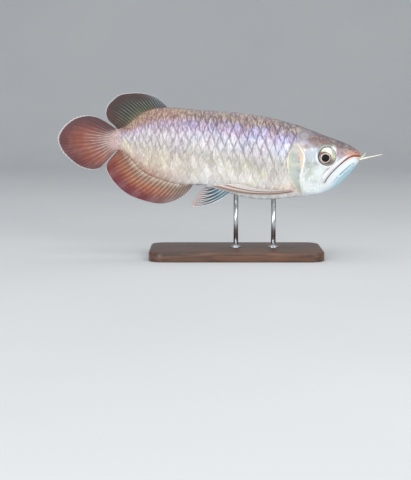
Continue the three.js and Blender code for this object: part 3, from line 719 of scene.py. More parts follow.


# The first oval, blue-grey just behind the eye, is painted shade on the cheek
head_colour = spots(head_colour, [
    (91, -4, 11, 7, "#adbac4", 0.85), (98, -15, 5, 4, "#989da1", 0.85), (85, -14, 4.5, 12, "#a0a498", 0.75),
    (90, -22, 6, 8, "#b0b4aa", 0.65), (94, -16, 3.5, 2.5, "#838889", 0.55), (101, -25, 9, 7, "#dde4e5", 0.8),
    (84, -32, 4, 7, "#b3b5ac", 0.6), (104, -36, 12, 7, "#dbe4e2", 0.7), (84, -44, 6, 5, "#f0f0ec", 0.8),
    (87, -8, 4, 6, "#b9c2c4", 0.7), (94, -38, 5, 4, "#c9cfcb", 0.6), (79, 4, 6, 5, "#d6cabd", 0.7),
    (128, -16, 6, 6, "#9d9a9e", 0.75), (122, -24, 7, 4, "#94989b", 0.6),
])
# Forehead and snout: mottled mauve brown with red streaks and a paler oval at the nape
brow_line = plus(minus(head_z, 4.5), product(between(head_x, 106, 134), 12.0))
brow_line = plus(brow_line, product(minus(clouds, 0.5), 14.0))
brow = product(between(brow_line, -3.0, 2.5), between(mouth_off, 2.2, 5.5))
brow_colour = ramp(fine_clouds, [(0.3, "#4f4247"), (0.44, "#63565a"), (0.58, "#766967"), (0.75, "#998d89")])
head_colour = spots(tint(brow, head_colour, brow_colour), [
    (78, 20, 14, 8, "#85828a", 0.8), (73, 13, 9, 6, "#988f9c", 0.8), (80, 10, 8, 3.5, "#9f95a2", 0.75),
    (73, 25, 4, 3.5, "#a8957f", 0.6), (75, 8, 5, 2.5, "#bcb1bd", 0.6), (88, 7, 6, 3, "#a59ba6", 0.6),
    (94, 15.5, 9, 1.8, "#7a514d", 0.7), (98, 9.5, 7, 1.8, "#8d6453", 0.65), (107, 12, 6, 1.5, "#8a5550", 0.7),
    (103, 8, 5, 2.0, "#7f7363", 0.8), (91, 11, 5, 2.5, "#857473", 0.7), (114, 7, 7, 2.0, "#837260", 0.8),
    (121, 3.5, 4, 2.0, "#8e6250", 0.7), (127, 1.5, 5, 3, "#7f686d", 0.7), (134, 1, 7, 2.4, "#9b877e", 0.8),
    (124, -4, 4, 6, "#a07f8e", 0.8), (132, -6, 4, 4, "#a98a80", 0.6), (139, -2.5, 6, 3.4, "#bd9182", 0.8),
    (147, -3, 5, 3.4, "#c68f78", 0.85), (145, 3.5, 7, 2.4, "#7f6d66", 0.7), (151, -3, 3, 5, "#76584f", 0.6),
])
head_colour = layers(
    head_colour,
    (product(between(nape_off, 1.15, 0.95), 0.6), "#939092"),
    (product(band(nape_off, 1.08, 0.2), between(head_z, 12, 19), 0.7), "#6a5c62"),
)
# Jaw bone and lips: white, and orange red towards the snout, over the lower jaw, which is white with a
# painted pale blue reflection that grows away from the mouth
bone_off = calc("DIVIDE", mouth_off, plus(3.0, product(mouth_run, 4.5)))
bone_mask = product(
    between(bone_off, 1.1, 0.75), between(mouth_off, 0.1, 0.6), between(mouth_run, 0.22, 0.36),
    between(mouth_run, 1.0, 0.92), 0.9,
)
bone_edge = product(
    band(bone_off, 1.18, 0.24), between(mouth_run, 0.2, 0.4), between(mouth_run, 0.95, 0.7), 0.75,
)
jaw_mask = product(between(mouth_off, 0.0, -1.5), between(head_x, 98, 110))
# White by the mouth, then pale blue: the blue is a painted reflection of cyan light
jaw_colour = ramp(between(mouth_off, -2, -24), [
    (0.0, "#e3e7ea"), (0.3, "#cfdfe7"), (0.52, "#b7d7e2"), (0.75, "#a9cfdc"), (1.0, "#b6dce7"),
])
lip_mask = product(
    between(mouth_off, minus(6.6, product(mouth_run, 9.5)), 0.4), between(mouth_off, -2.6, -0.4),
    between(mouth_run, 0.56, 0.22), 0.92,
)
lip_streaks = noise(hide_place, 75, 3.0, (0.6, 1, 1.9))
lip_colour = ramp(lip_streaks, [(0.35, "#ab4c35"), (0.48, "#c36f4f"), (0.62, "#d69c7d")])
head_colour = layers(
    head_colour,
    (bone_mask, "#d3d0d5"),
    (bone_edge, "#94878c"),
    (jaw_mask, jaw_colour),
    (lip_mask, lip_colour),
    (product(band(mouth_off, -3.5, 3.5), between(mouth_run, 0.16, 0.02), 0.6), "#a88f62"),
)
# Fine dark lines along the lower jaw, those on its folds painted shade in the folds, and the mouth's cleft
# painted dark as shade
crease_break = between(noise(hide_place, 260, 1.0), 0.32, 0.5)
for crease_at, crease_width, crease_code, crease_start in (
    (-9.6, 1.3, "#45616f", 0.1), (-11.8, 0.6, "#8fb0bd", 0.1), (-14.0, 1.0, "#6f93a3", 0.16),
    (-16.6, 0.6, "#93b6c3", 0.2), (-19.5, 1.2, "#7099a9", 0.25),
):
    # Lines at the fold offsets are painted shade in the folds, the narrower paler ones lie between them
    jaw_lines_and_fold_shade = product(
        band(plus(mouth_off, product(speckle, 0.8)), crease_at, crease_width), crease_break,
        between(mouth_run, crease_start, crease_start + 0.12), between(mouth_run, 0.95, 0.6), 0.8,
    )
    head_colour = tint(jaw_lines_and_fold_shade, head_colour, crease_code)
# The mouth's cleft is painted near black, painted shade in the groove between the lips
cleft = product(band(mouth_off, 0.0, 1.0), between(mouth_run, 1.0, 0.93))
head_colour = tint(cleft, head_colour, "#2a1a1a")
# Gill cover: greenish silver with a gold rim, and a light crease before it with an orange patch above
gill_mask = product(between(head_z, -57, -50), between(head_z, 12, 6))
gill_face = product(gill_mask, between(crease_off, 1.0, -2.5), 0.8)
gill_colour = ramp(clouds, [(0.35, "#9aa3a2"), (0.5, "#a9afa9"), (0.65, "#c1c3b4")])
head_colour = layers(
    head_colour,
    (gill_face, gill_colour),
    (product(gill_face, between(flecks, 0.62, 0.7), 0.7), "#8b7c76"),
    (product(gill_mask, between(edge_off, 2.8, 0.9), 0.85, between(fine_clouds, 0.3, 0.52)), "#f0ebc8"),
    (product(gill_mask, band(edge_off, 4.2, 1.8), 0.45), "#c2c49f"),
)
head_colour = spots(head_colour, [
    (75.5, -4, 4.5, 7, "#d6baa1", 0.75), (74, -9, 2.6, 2.2, "#c98873", 0.7), (77, -15, 3, 8, "#dccbb6", 0.8),
    (76, 5, 7, 3.5, "#b3a9a3", 0.85), (66, -30, 5, 12, "#c3c9c4", 0.5), (70, 0, 4, 4, "#c2bdb4", 0.5),
])
head_colour = layers(
    head_colour,
    (product(band(edge_off, 0.4, 1.2), between(head_z, -16, -2), 0.75, gill_mask), "#85676a"),
    (product(gill_mask, band(plus(crease_off, product(speckle, 2.4)), 0.0, 1.7), 0.8), "#ece7da"),
)
# A pale ring of skin and a dark inner rim round the eye, a painted highlight on the skin at the eye's upper
# front, and dark nostrils, painted shade in their pits
head_colour = layers(
    head_colour,
    (product(band(eye_off, 13.6, 2.2), between(head_z, -3, -12), 0.75), "#f3f4f4"),
    (product(band(eye_off, 13.2, 2.0), between(head_z, -4, 3), 0.7), "#8f9a95"),
    # A white painted highlight, a reflection on the wet upper front corner of the eye
    (product(soft_spot(EYE_X + 8.6, EYE_Z + 7.6, 4, 6, 0.8), 0.9), "#fbf7fb"),
    (between(eye_off, 12.0, 11.2), "#5d5854"),
    # The nostrils are painted dark, painted shade in their pits
    (between(nostril_off, 1.3, 0.7), "#4b3936"),
)
on_head_mask = between(edge_off, -0.25, 0.0)
feed(
    hide_shader,
    Base_Color=tint(on_head_mask, body_marks["Colour"], head_colour),
    Roughness=remapped(flecks, 0.32, 0.48),
    Metallic=product(inverse(brow), on_head_mask, between(mouth_off, -1.5, 0.5), 0.2),
    Normal=raised(plus(flecks, product(fine_clouds, 1.5)), 0.35, 0.0003),
)

skin_piece = finish_piece(
    skin, "fish_skin", hide,
    ("head", "lower_jaw", "trunk", "tail", "gill_cover_left", "gill_cover_right"),
)
skin_share = share_at_height(np.clip(x, SKIN_END_X, SNOUT_X - 0.6), z)
write_uv(skin_piece.data, "Lie", np.stack([x / 100, skin_share], axis=1))
write_values(
    skin_piece.data, height=z, mouth_off=off_mouth, mouth_run=along_mouth, eye_off=from_eye, edge_off=ahead,
    crease_off=off_crease, nape_off=from_nape, nostril_off=nearest_nostril,
)


# Scales
# Large bony plates cover the body in nine rows a side, each rooted in the skin under those ahead of it,
# with a rounded rear edge that stands up a little. They close up and shrink towards the tail.
SCALE_ROWS = 18
COLUMN_PITCH = 11.05
TAPER_X = -62.2
TAPER_RATE = 0.0485
FIRST_COLUMN = -13
LAST_COLUMN = 11
SCALE_LIFT = 0.07
MIDLINE_LIFT = 0.35
LOW_SIDE_EASE = 0.45  # the scales lie flatter on the lower side
SCALE_THICKNESS = 0.2
EDGE_POWER = 2.05  # how full a scale's rear edge is: 1 is a plain diamond, and more is rounder
SCALE_DOME = 0.08
EDGE_BEVEL = 0.05
SCALE_REACH = 0.75  # how far a scale's front edge lies ahead of its rear corners, in columns
TUCK_DEPTH = 1.6  # how deep a scale dips under the gill cover and the nape
PATCH_SIZE = 0.003  # each scale's patch on the unwrap, which runs from x = -170 over 340 mm
UNWRAP_START = -170
UNWRAP_LENGTH = 340
UNWRAP_HALF_HEIGHT = 0.49
random.seed(7)


def column_x(count):
    run = np.where(count <= 0, count, (1 - np.exp(-TAPER_RATE * np.maximum(count, 0))) / TAPER_RATE)
    return TAPER_X - COLUMN_PITCH * run


# One plate: across runs over the rows from -1 to 1, and along from its front edge to its rear edge
plate = bmesh.new()
bmesh.ops.create_grid(plate, x_segments=8, y_segments=3, size=1)
for vertex in plate.verts:
    vertex.co.x = math.sin(vertex.co.x * math.pi / 2)
    vertex.co.y = 1 - (1 - (vertex.co.y + 1) / 2) ** 1.6
bmesh.ops.solidify(plate, geom=plate.faces[:], thickness=1)
plate_points = points_of(plate)
plate_across = plate_points[:, 0]
plate_along = plate_points[:, 1]
plate_under = np.abs(plate_points[:, 2])
plate_mesh = bpy.data.meshes.new("scale_plate")
plate.to_mesh(plate_mesh)
plate.free()

coat = bmesh.new()
coat_points, coat_lie, coat_scale, coat_patch, coat_tone = [], [], [], [], []
for half_columns in range(2 * FIRST_COLUMN, 2 * LAST_COLUMN):
    centre = half_columns / 2
    for centre_row in range(1 if half_columns % 2 == 0 else 0, SCALE_ROWS, 2):
        rear = centre + 0.5 * (1 - np.abs(plate_across) ** EDGE_POWER)
        fore = centre - SCALE_REACH + 0.45 * np.abs(plate_across) ** 1.6
        count = fore + (rear - fore) * plate_along
        turn = np.mod(centre_row + 0.995 * plate_across, SCALE_ROWS) / (SCALE_ROWS / 2)
        way_round = np.where(turn <= 1, turn, turn - 2)
        from_midline = np.minimum(np.minimum(turn, 2 - turn), np.abs(1 - turn)) * SCALE_ROWS / 2
        thin = np.exp(-TAPER_RATE * np.maximum(0, centre))
        slope = SCALE_LIFT * COLUMN_PITCH * thin
        slope *= MIDLINE_LIFT + (1 - MIDLINE_LIFT) * np.clip(from_midline / 2, 0, 1)
        slope *= 1 - LOW_SIDE_EASE * smooth_step(np.abs(way_round), 0.5, 0.7)
        height = slope * (count - centre + 0.5) * random.uniform(0.92, 1.08)
        height += thin * (SCALE_DOME * (1 - plate_across**2) - EDGE_BEVEL * (plate_along > 0.999))
        height -= plate_under * SCALE_THICKNESS * thin
        plate_x = column_x(count)
        # Plates that reach under the gill cover or the nape dip below the skin there
        under_head = plate_x - head_edge_x(body_points(plate_x, way_round)[:, 2])
        if under_head.min() > 1.5:
            continue
        tucked = smooth_step(under_head, 0.2, 3.5)
        height = height * (1 - tucked) - TUCK_DEPTH * tucked
        coat.from_mesh(plate_mesh)
        on_flank = body_points(plate_x, way_round, height * tail_taper(plate_x))
        on_flank[:, 1] *= tail_taper(plate_x)
        coat_points.append(on_flank)
        coat_lie.append(np.stack([plate_x / 100, np.abs(way_round)], axis=1))
        coat_scale.append(np.stack([plate_across, count - centre], axis=1))
        root_round = centre_row / (SCALE_ROWS / 2)
        root_round = root_round if root_round <= 1 else root_round - 2
        patch_u = (column_x(centre - 0.5) - UNWRAP_START) / UNWRAP_LENGTH
        patch_v = 0.5 + UNWRAP_HALF_HEIGHT * root_round
        patch = PATCH_SIZE * np.stack([plate_along - 0.5, plate_across / 2], axis=1)
        coat_patch.append(patch + (patch_u, patch_v))
        coat_tone.append(np.full(len(plate_across), random.random()))
bpy.data.meshes.remove(plate_mesh)
set_points(coat, np.concatenate(coat_points))
bmesh.ops.recalc_face_normals(coat, faces=coat.faces)
bmesh.ops.transform(coat, matrix=FISH_FRAME, verts=coat.verts)

scale_finish, scale_tree, scale_shader = new_material(
    "arowana_scales", Coat_Weight=0.14, Coat_Roughness=0.22, Specular_IOR_Level=0.35,
)
scale_place = object_place(scale_tree)
tone = attribute(scale_tree, "tone")
body_along, body_round, body_marks = flank_marks(scale_tree, scale_place, tone)
across, along = uv_parts(scale_tree, "Scale")
# The ring number is 1 all along the free rear edge, and less towards the scale's middle
ring = plus(calc("POWER", calc("ABSOLUTE", across), EDGE_POWER), calc("MAXIMUM", product(along, 2.0), 0.0))
rim_wobble = minus(noise(scale_place, 400), 0.5)
rim = between(plus(ring, product(rim_wobble, 0.14)), 0.78, 0.94)
# Painted shade lies on each scale beside the scales ahead of it, darkest in its front cusp
front_ring = calc("POWER", calc("MAXIMUM", product(along, -2.0), 0.0), 1 / EDGE_POWER)
covered = plus(plus(front_ring, calc("ABSOLUTE", across)), product(rim_wobble, 0.3))
corner = product(between(along, -0.2, -0.46), between(across, 0.7, 0.1), between(across, -0.7, -0.1), 0.75)
shade = calc("MAXIMUM", between(covered, 0.7, 1.0), corner)
# The dark edge lines and the painted shade are laid on together in the edges' colour
edge_line_and_shade = product(calc("MAXIMUM", product(rim, 0.75), shade), body_marks["Edge Strength"])
# Painted highlights: the middle of the flank's scales is painted bright, and the rear edge itself is painted
# pale, most of all low on the side
highlight_rows = product(between(body_round, 0.27, 0.38), between(body_round, 0.6, 0.46))
highlight_streak = minus(noise(scale_place, 300, 2.0, (1.7, 1, 0.5)), 0.5)
# A painted highlight in the middle of each scale on the upper flank
centre_highlight = product(
    between(plus(ring, product(highlight_streak, 1.4)), 0.7, 0.3), highlight_rows,
    between(body_along, -1.56, -1.46), 0.42,
)
highlight_colour = tint(between(body_along, -0.5, -1.0), "#dfdfe5", "#d2ccc9")
before_tail = between(body_along, -1.58, -1.46)
# A pale painted highlight along each scale's raised rear edge
rim_highlight = product(
    between(plus(ring, product(highlight_streak, 0.5)), 0.8, 0.98),
    between(minus(body_round, product(body_along, 0.25)), 0.3, 0.75), before_tail, 0.55,
)
tone_tint = ramp(tone, [(0.0, "#e6e3e5"), (0.5, "#f3f2f2"), (1.0, "#ffffff")])
scale_colour = layers(
    tint(1.0, body_marks["Colour"], tone_tint, "MULTIPLY"),
    (centre_highlight, highlight_colour),
    (edge_line_and_shade, body_marks["Edge Colour"]),
    (rim_highlight, "#f3eee6"),
    # A faint painted highlight on the very lip of each scale's rear edge
    (product(between(ring, 0.95, 1.0), before_tail, 0.3), "#d6cecb"),
)
shine = product(
    between(body_round, 0.1, 0.35), between(body_round, 0.9, 0.55), inverse(rim),
    between(body_along, -1.2, -0.3), 0.2,
)
# Fine growth rings run round each scale
growth_wave = calc("SINE", product(plus(ring, product(noise(scale_place, 200), 0.2)), 62.0))
growth = plus(product(growth_wave, 0.25), noise(scale_place, 420, 4.0, (1.6, 1, 0.6)))
feed(
    scale_shader, Base_Color=scale_colour, Roughness=remapped(tone, 0.38, 0.5), Metallic=shine,
    Normal=raised(growth, 0.25, 0.00015),
)

coat_piece = finish_piece(coat, "scale_coat", scale_finish, ())
write_uv(coat_piece.data, "OFBake", np.concatenate(coat_patch))
write_uv(coat_piece.data, "Lie", np.concatenate(coat_lie))
write_uv(coat_piece.data, "Scale", np.concatenate(coat_scale))
write_values(coat_piece.data, tone=np.concatenate(coat_tone))


# Eyes
# Each eye is a glossy ball that bulges through its opening: a black pupil with a thin pale ring, a
# bright yellow silver iris that darkens to brown at one side, and a dark outer rim.
EYE_RADII = (12.6, 7, 12.6)
EYE_SINK = 3.2
EYE_TURN = 0.16
PUPIL_OFF = (-3.2, -1.8)  # where the pupil sits off the eye's centre in the side view


def eye_piece(name, side, finish):
    ball = bmesh.new()
    bmesh.ops.create_uvsphere(ball, u_segments=64, v_segments=40, radius=1)
    bmesh.ops.rotate(ball, verts=ball.verts, matrix=Matrix.Rotation(math.pi / 2, 3, "X"))
    bmesh.ops.scale(ball, vec=EYE_RADII, verts=ball.verts)
    flat = points_of(ball)
    out_y = float(flank_y(np.array([EYE_X]), np.array([EYE_Z]))[0]) - EYE_SINK
    bmesh.ops.rotate(ball, verts=ball.verts, matrix=Matrix.Rotation(-side * EYE_TURN, 3, "Z"))
    bmesh.ops.translate(ball, vec=(EYE_X, side * out_y, EYE_Z), verts=ball.verts)
    bmesh.ops.transform(ball, matrix=FISH_FRAME, verts=ball.verts)
    piece = finish_piece(ball, name, finish, (name,))
    fore, _, up = flat.T
    from_pupil = np.hypot(fore - PUPIL_OFF[0], up - PUPIL_OFF[1])
    write_values(piece.data, pupil_off=from_pupil, rim_off=np.hypot(fore, up), eye_up=up, eye_fore=fore)


eye_finish, eye_tree, eye_shader = new_material(
    "eye_wet", Roughness=0.35, Specular_IOR_Level=0.15, Coat_Weight=0.45, Coat_Roughness=0.03,
    Coat_IOR=1.45,
)
pupil_off, rim_off, eye_up, eye_fore = (
    attribute(eye_tree, name) for name in ("pupil_off", "rim_off", "eye_up", "eye_fore")
)
iris = ramp(between(plus(eye_up, product(eye_fore, 0.45)), -9, 8), [
    (0.0, "#6f6660"), (0.35, "#8f8a80"), (0.6, "#c3c1ab"), (0.8, "#e3e1c0"), (1.0, "#edecd6"),
])
iris_noise = noise(object_place(eye_tree), 500, 3.0)
brown_side = product(
    between(eye_fore, 0.5, -4.5), between(eye_up, 7.4, 4.6), between(eye_up, -3.5, 1.5), 0.9,
)
rim_colour = ramp(between(eye_up, -8, 8), [(0.0, "#4c4440"), (1.0, "#66706a")])
iris = layers(
    iris,
    (product(between(iris_noise, 0.5, 0.7), 0.4), "#9aa08c"),
    (brown_side, "#744a3e"),
    (product(between(eye_fore, 2.5, 6.5), between(eye_up, 0.0, 3.0), 0.6), "#9eaa9c"),
    (product(between(pupil_off, 8.2, 6.8), 0.9), "#4f3c36"),
    (between(pupil_off, 6.3, 5.9), "#cdb6ae"),
    (between(pupil_off, 5.2, 4.8), "#20110d"),
    (between(pupil_off, 4.4, 3.9), "#020101"),
    (product(band(rim_off, 10.3, 1.0), between(eye_up, 2.0, -2.0), 0.7), "#cfc6bd"),
    (between(rim_off, 10.5, 11.4), rim_colour),
)
feed(eye_shader, Base_Color=iris, Metallic=product(between(pupil_off, 7.4, 9.0), 0.4))
for name, side in (("eye_right", -1), ("eye_left", 1)):
    eye_piece(name, side, eye_finish)


# Barbels
# Two soft feelers on the chin, round and tapering to a fine tip. One points forwards, the other aside.
ROOT_RADIUS = 1.35
TIP_RADIUS = 0.35
BARBELS = {
    "barbel_right": [(147, -1.9, -12.8), (156, -3.2, -10.4), (168, -5, -7.6), (180.6, -6.4, -4.8)],
    "barbel_left": [(147.6, 1.4, -12.6), (155, 7, -9.8), (160.4, 15, -7.2), (163.2, 24, -4)],
}


def spline_points(knots, share):
    """Points of a smooth curve in space through its knots, for an array of shares of the way along."""
    knots = np.array(knots, dtype=float)
    padded = np.concatenate([[2 * knots[0] - knots[1]], knots, [2 * knots[-1] - knots[-2]]])
    span = np.clip(share, 0, 1) * (len(knots) - 1)
    i = np.minimum(span.astype(int), len(knots) - 2)
    p = (span - i)[:, None]
    a, b, c, d = (padded[i + k] for k in range(4))
    return 0.5 * (2 * b + (c - a) * p + (2 * a - 5 * b + 4 * c - d) * p**2 + (3 * b - a - 3 * c + d) * p**3)


barbel_finish, barbel_tree, barbel_shader = new_material(
    "barbel_flesh", Roughness=0.38, Coat_Weight=0.25, Coat_Roughness=0.2, Subsurface_Weight=0.15,
)
barbel_noise = noise(object_place(barbel_tree), 900)
feed(
    barbel_shader,
    Base_Color=ramp(barbel_noise, [(0.3, "#d3c8a8"), (0.5, "#ece4cf"), (0.75, "#f6f2e8")]),
    Normal=raised(barbel_noise, 0.3, 0.0001),
)
for name, path in BARBELS.items():
    feeler = bmesh.new()
    bmesh.ops.create_uvsphere(feeler, u_segments=20, v_segments=40, radius=1)
    ball_x, ball_y, ball_z = points_of(feeler).T
    share = (1 - np.cos(np.pi * (0.5 + np.arcsin(np.clip(ball_z, -1, 1)) / np.pi))) / 2
    turn = np.arctan2(ball_y, ball_x)[:, None]
    blunt = np.clip(1 - np.abs(2 * share - 1) ** 24, 0, 1) ** 0.5
    radius = (ROOT_RADIUS + (TIP_RADIUS - ROOT_RADIUS) * share) * blunt
    heading = spline_points(path, share + 0.01) - spline_points(path, share - 0.01)
    heading /= np.maximum(np.linalg.norm(heading, axis=1, keepdims=True), 1e-9)
    aside = np.cross(heading, (0, 0, 1))
    aside /= np.linalg.norm(aside, axis=1, keepdims=True)
    above = np.cross(aside, heading)
    around = np.cos(turn) * aside + np.sin(turn) * above
    set_points(feeler, spline_points(path, share) + radius[:, None] * around)
    bmesh.ops.remove_doubles(feeler, verts=feeler.verts, dist=1e-5)
    bmesh.ops.recalc_face_normals(feeler, faces=feeler.faces)
    bmesh.ops.transform(feeler, matrix=FISH_FRAME, verts=feeler.verts)
    finish_piece(feeler, name, barbel_finish, (name,))


# Median fins
# The dorsal, anal and tail fins are thin webs on jointed rays that stand as ridges on both faces and
# fork towards the margin, where each fork ends in a small white point.
RAY_COLUMNS = 8  # columns of the mesh for each ray
RAY_FORK = 0.24  # how far a ray's forks part, as a share of the distance between rays
RAY_REACH = 0.2  # how far the ridge of a ray reaches to either side, as such a share
WEB_DEPTH = 0.16  # half the web's thickness
WEB_NOTCH = 1.3  # how far the margin falls back between the rays
MEDIAN_FINS = {
    "dorsal_fin": {
        "root": [(-90, 0, 50), (-106, 0, 47), (-120, 0, 43), (-132, 0, 34), (-142, 0, 25), (-151, 0, 21)],
        "margin": [
            (-93, 0, 57), (-103, 0, 65.4), (-113, 0, 70), (-126, 0, 72.6), (-140, 0, 72.3), (-152, 0, 70),
            (-161, 0, 63.6), (-167.4, 0, 56), (-169.5, 0, 47.6), (-166.4, 0, 38.6), (-158.6, 0, 32),
        ],
        "rays": 26,
        "arch": (0.03, 0, 0.03),
        "lean": 1.35,
    },
    "anal_fin": {
        "root": [
            (-57, 0, -40), (-74, 0, -40), (-92, 0, -35), (-110, 0, -28), (-124, 0, -20), (-134, 0, -8),
            (-143, 0, 2), (-151, 0, 6),
        ],
        "margin": [
            (-61, 0, -47.6), (-70, 0, -57), (-84, 0, -65), (-98.6, 0, -68.6), (-112.6, 0, -67.4),
            (-126, 0, -63.6), (-139.6, 0, -58.4), (-150.6, 0, -51), (-159.4, 0, -42), (-166, 0, -32.6),
            (-169.8, 0, -23), (-167.6, 0, -15.4), (-157.4, 0, -4.6),
        ],
        "rays": 29,
        "arch": (0.01, 0, -0.03),
        "lean": 1.4,
    },
    "caudal_fin": {
        "root": [(-152, 0, 24.4), (-155, 0, 19), (-156, 0, 14), (-155, 0, 9), (-152, 0, 3.6)],
        "margin": [
            (-163, 0, 31.8), (-173, 0, 38.6), (-184, 0, 43.2), (-196, 0, 44), (-210, 0, 40),
            (-222, 0, 31), (-229.5, 0, 20), (-230.4, 0, 10), (-225.6, 0, -1), (-216, 0, -11.6),
            (-204, 0, -20.6), (-191, 0, -24.9), (-181, 0, -24.2), (-173.6, 0, -19.4), (-160, 0, -3.4),
        ],
        "rays": 21,
        "arch": (0, 0, 0),
    },
}


def fin_piece(
    name, fin, finish, normal=(0, 1, 0), steps=36, root_depth=0.8, tip_depth=0.3, ripple=0.5,
):
    """A fin between root and margin: a grid for one face, mirrored and closed.

    Arch is a share of each ray's length, and a lean above 1 crowds the rays' roots forwards.
    """
    rays = fin["rays"]
    web = bmesh.new()
    bmesh.ops.create_grid(web, x_segments=(rays - 1) * RAY_COLUMNS, y_segments=steps, size=1)
    for vertex in web.verts:
        vertex.co = ((vertex.co.x + 1) / 2, (vertex.co.y + 1) / 2, 0)
    flat = points_of(web)
    across, up = flat[:, 0] * (rays - 1), flat[:, 1]
    from_ray = np.abs(across - np.rint(across))
    fork = RAY_FORK * smooth_step(up, 0.42, 0.9)
    ray = np.clip(1 - np.abs(from_ray - fork) / RAY_REACH, 0, 1) ** 0.7
    depth = WEB_DEPTH + (root_depth + (tip_depth - root_depth) * up - WEB_DEPTH) * ray
    rim = (flat[:, 0] < 1e-6) | (flat[:, 0] > 1 - 1e-6) | (up < 1e-6) | (up > 1 - 1e-6)
    flat[:, 2] = np.where(rim, 0, depth)
    set_points(web, flat)
    bmesh.ops.mirror(web, geom=web.verts[:] + web.edges[:] + web.faces[:], axis="Z", merge_dist=1e-6)
    flat = points_of(web)
    across, up = flat[:, 0] * (rays - 1), flat[:, 1]
    from_ray = np.abs(across - np.rint(across))
    root = spline_points(fin["root"], flat[:, 0] ** fin.get("lean", 1))
    margin = spline_points(fin["margin"], flat[:, 0])
    length = np.linalg.norm(margin - root, axis=1)
    off_tip = np.clip(np.abs(from_ray - RAY_FORK) / RAY_REACH, 0, 1)
    notch = WEB_NOTCH * off_tip / np.maximum(4, length)
    run = up * (1 - notch * up**6)
    away = Vector(normal).normalized()
    wave = ripple * np.sin(1.7 * across + 2.3 * up) * up**1.5
    points = root + (margin - root) * run[:, None]
    points += np.outer(4 * run * (1 - run) * length, fin["arch"]) + np.outer(flat[:, 2] + wave, away)
    set_points(web, points)
    bmesh.ops.recalc_face_normals(web, faces=web.faces)
    bmesh.ops.transform(web, matrix=FISH_FRAME, verts=web.verts)
    piece = finish_piece(web, name, finish, (name,))
    write_uv(piece.data, "Fin", np.stack([across, up], axis=1))
    write_values(piece.data, ray_length=run * length, fin_share=flat[:, 0])


# Ray, joint and margin masks that every fin's colours use
fin_rays, (fin_point, fin_length, fin_width), fin_rays_out = new_group(
    "fin_rays",
    {"Fin": "Vector", "Length": "Float", "Width": "Float"},
    {"Ray": "Float", "Joint": "Float", "Margin": "Float", "Height": "Float"},
)
ray_across, ray_up = add_node(fin_rays, "SeparateXYZ", {0: fin_point}).outputs[:2]
from_middle = calc("ABSOLUTE", minus(ray_across, calc("ROUND", ray_across)))
from_fork = calc("ABSOLUTE", minus(from_middle, product(between(ray_up, 0.3, 0.8), RAY_FORK)))
from_twig = calc("ABSOLUTE", minus(from_fork, product(between(ray_up, 0.6, 0.9), 0.1)))
width_here = product(fin_width, inverse(product(ray_up, 0.6)))
on_ray = between(minus(from_twig, width_here), 0.11, 0.0)
joint_wave = calc("SINE", product(fin_length, 3.2))
joint = product(between(joint_wave, 0.4, 0.85), on_ray, between(ray_up, 0.08, 0.25))
feed(
    fin_rays_out,
    Ray=on_ray,
    Joint=joint,
    Margin=product(between(ray_up, 0.968, 0.982), plus(0.45, product(on_ray, 0.55))),
    Height=minus(on_ray, product(joint, 0.6)),
)


def fin_finish(name, web_stops, ray_stops, margin_colour, ray_width=0.05, lobes=(), stripes=()):
    """A fin's material: web and ray colours from root to margin, dark joints and a light margin."""
    material, tree, shader = new_material(
        name, Coat_Weight=0.12, Coat_Roughness=0.25, Specular_IOR_Level=0.25,
    )
    fin_map = add_node(tree, "UVMap", uv_map="Fin").outputs[0]
    up = add_node(tree, "SeparateXYZ", {0: fin_map}).outputs[1]
    inputs = {"Fin": fin_map, "Length": attribute(tree, "ray_length"), "Width": ray_width}
    masks = add_node(tree, "Group", inputs, node_tree=fin_rays).outputs
    fin_share = attribute(tree, "fin_share")
    streak = noise(object_place(tree), 140, 3.0)
    shifted = plus(up, product(minus(streak, 0.5), 0.35))
    web_colour = ramp(shifted, web_stops)
    ray_colour = ramp(shifted, ray_stops)
    for lobe in lobes:
        mask = product(between(fin_share, *lobe["share"]), between(up, 0.02, 0.3), lobe["strength"])
        web_colour = tint(mask, web_colour, lobe["web"])
        ray_colour = tint(mask, ray_colour, lobe["ray"])
    colour = tint(product(masks["Ray"], 0.8), web_colour, ray_colour)
    if stripes:
        colour = tint(0.8, colour, ramp(fin_share, stripes))
    colour = layers(colour, (product(masks["Joint"], 0.5), "#3a2420"), (masks["Margin"], margin_colour))
    feed(
        shader, Base_Color=colour, Roughness=remapped(streak, 0.32, 0.5),
        Normal=raised(masks["Height"], 0.4, 0.0002),
    )
    return material


dorsal_finish = fin_finish(
    "dorsal_web",
    [
        (0.0, "#a08064"), (0.1, "#675c42"), (0.22, "#3d3e31"), (0.45, "#2b2b28"), (0.7, "#2a2120"),
        (1.0, "#382424"),
    ],
    [
        (0.0, "#b5967a"), (0.1, "#99957d"), (0.35, "#898d80"), (0.6, "#66655e"), (0.8, "#4f3f3b"),
        (1.0, "#524040"),
    ],
    "#ebe6e6",
    ray_width=0.02,
    lobes=[
        {"share": (0.6, 0.92), "strength": 0.7, "web": "#43281f", "ray": "#604434"},
        {"share": (0.34, 0.05), "strength": 0.85, "web": "#3c444b", "ray": "#a3adb5"},
    ],
)
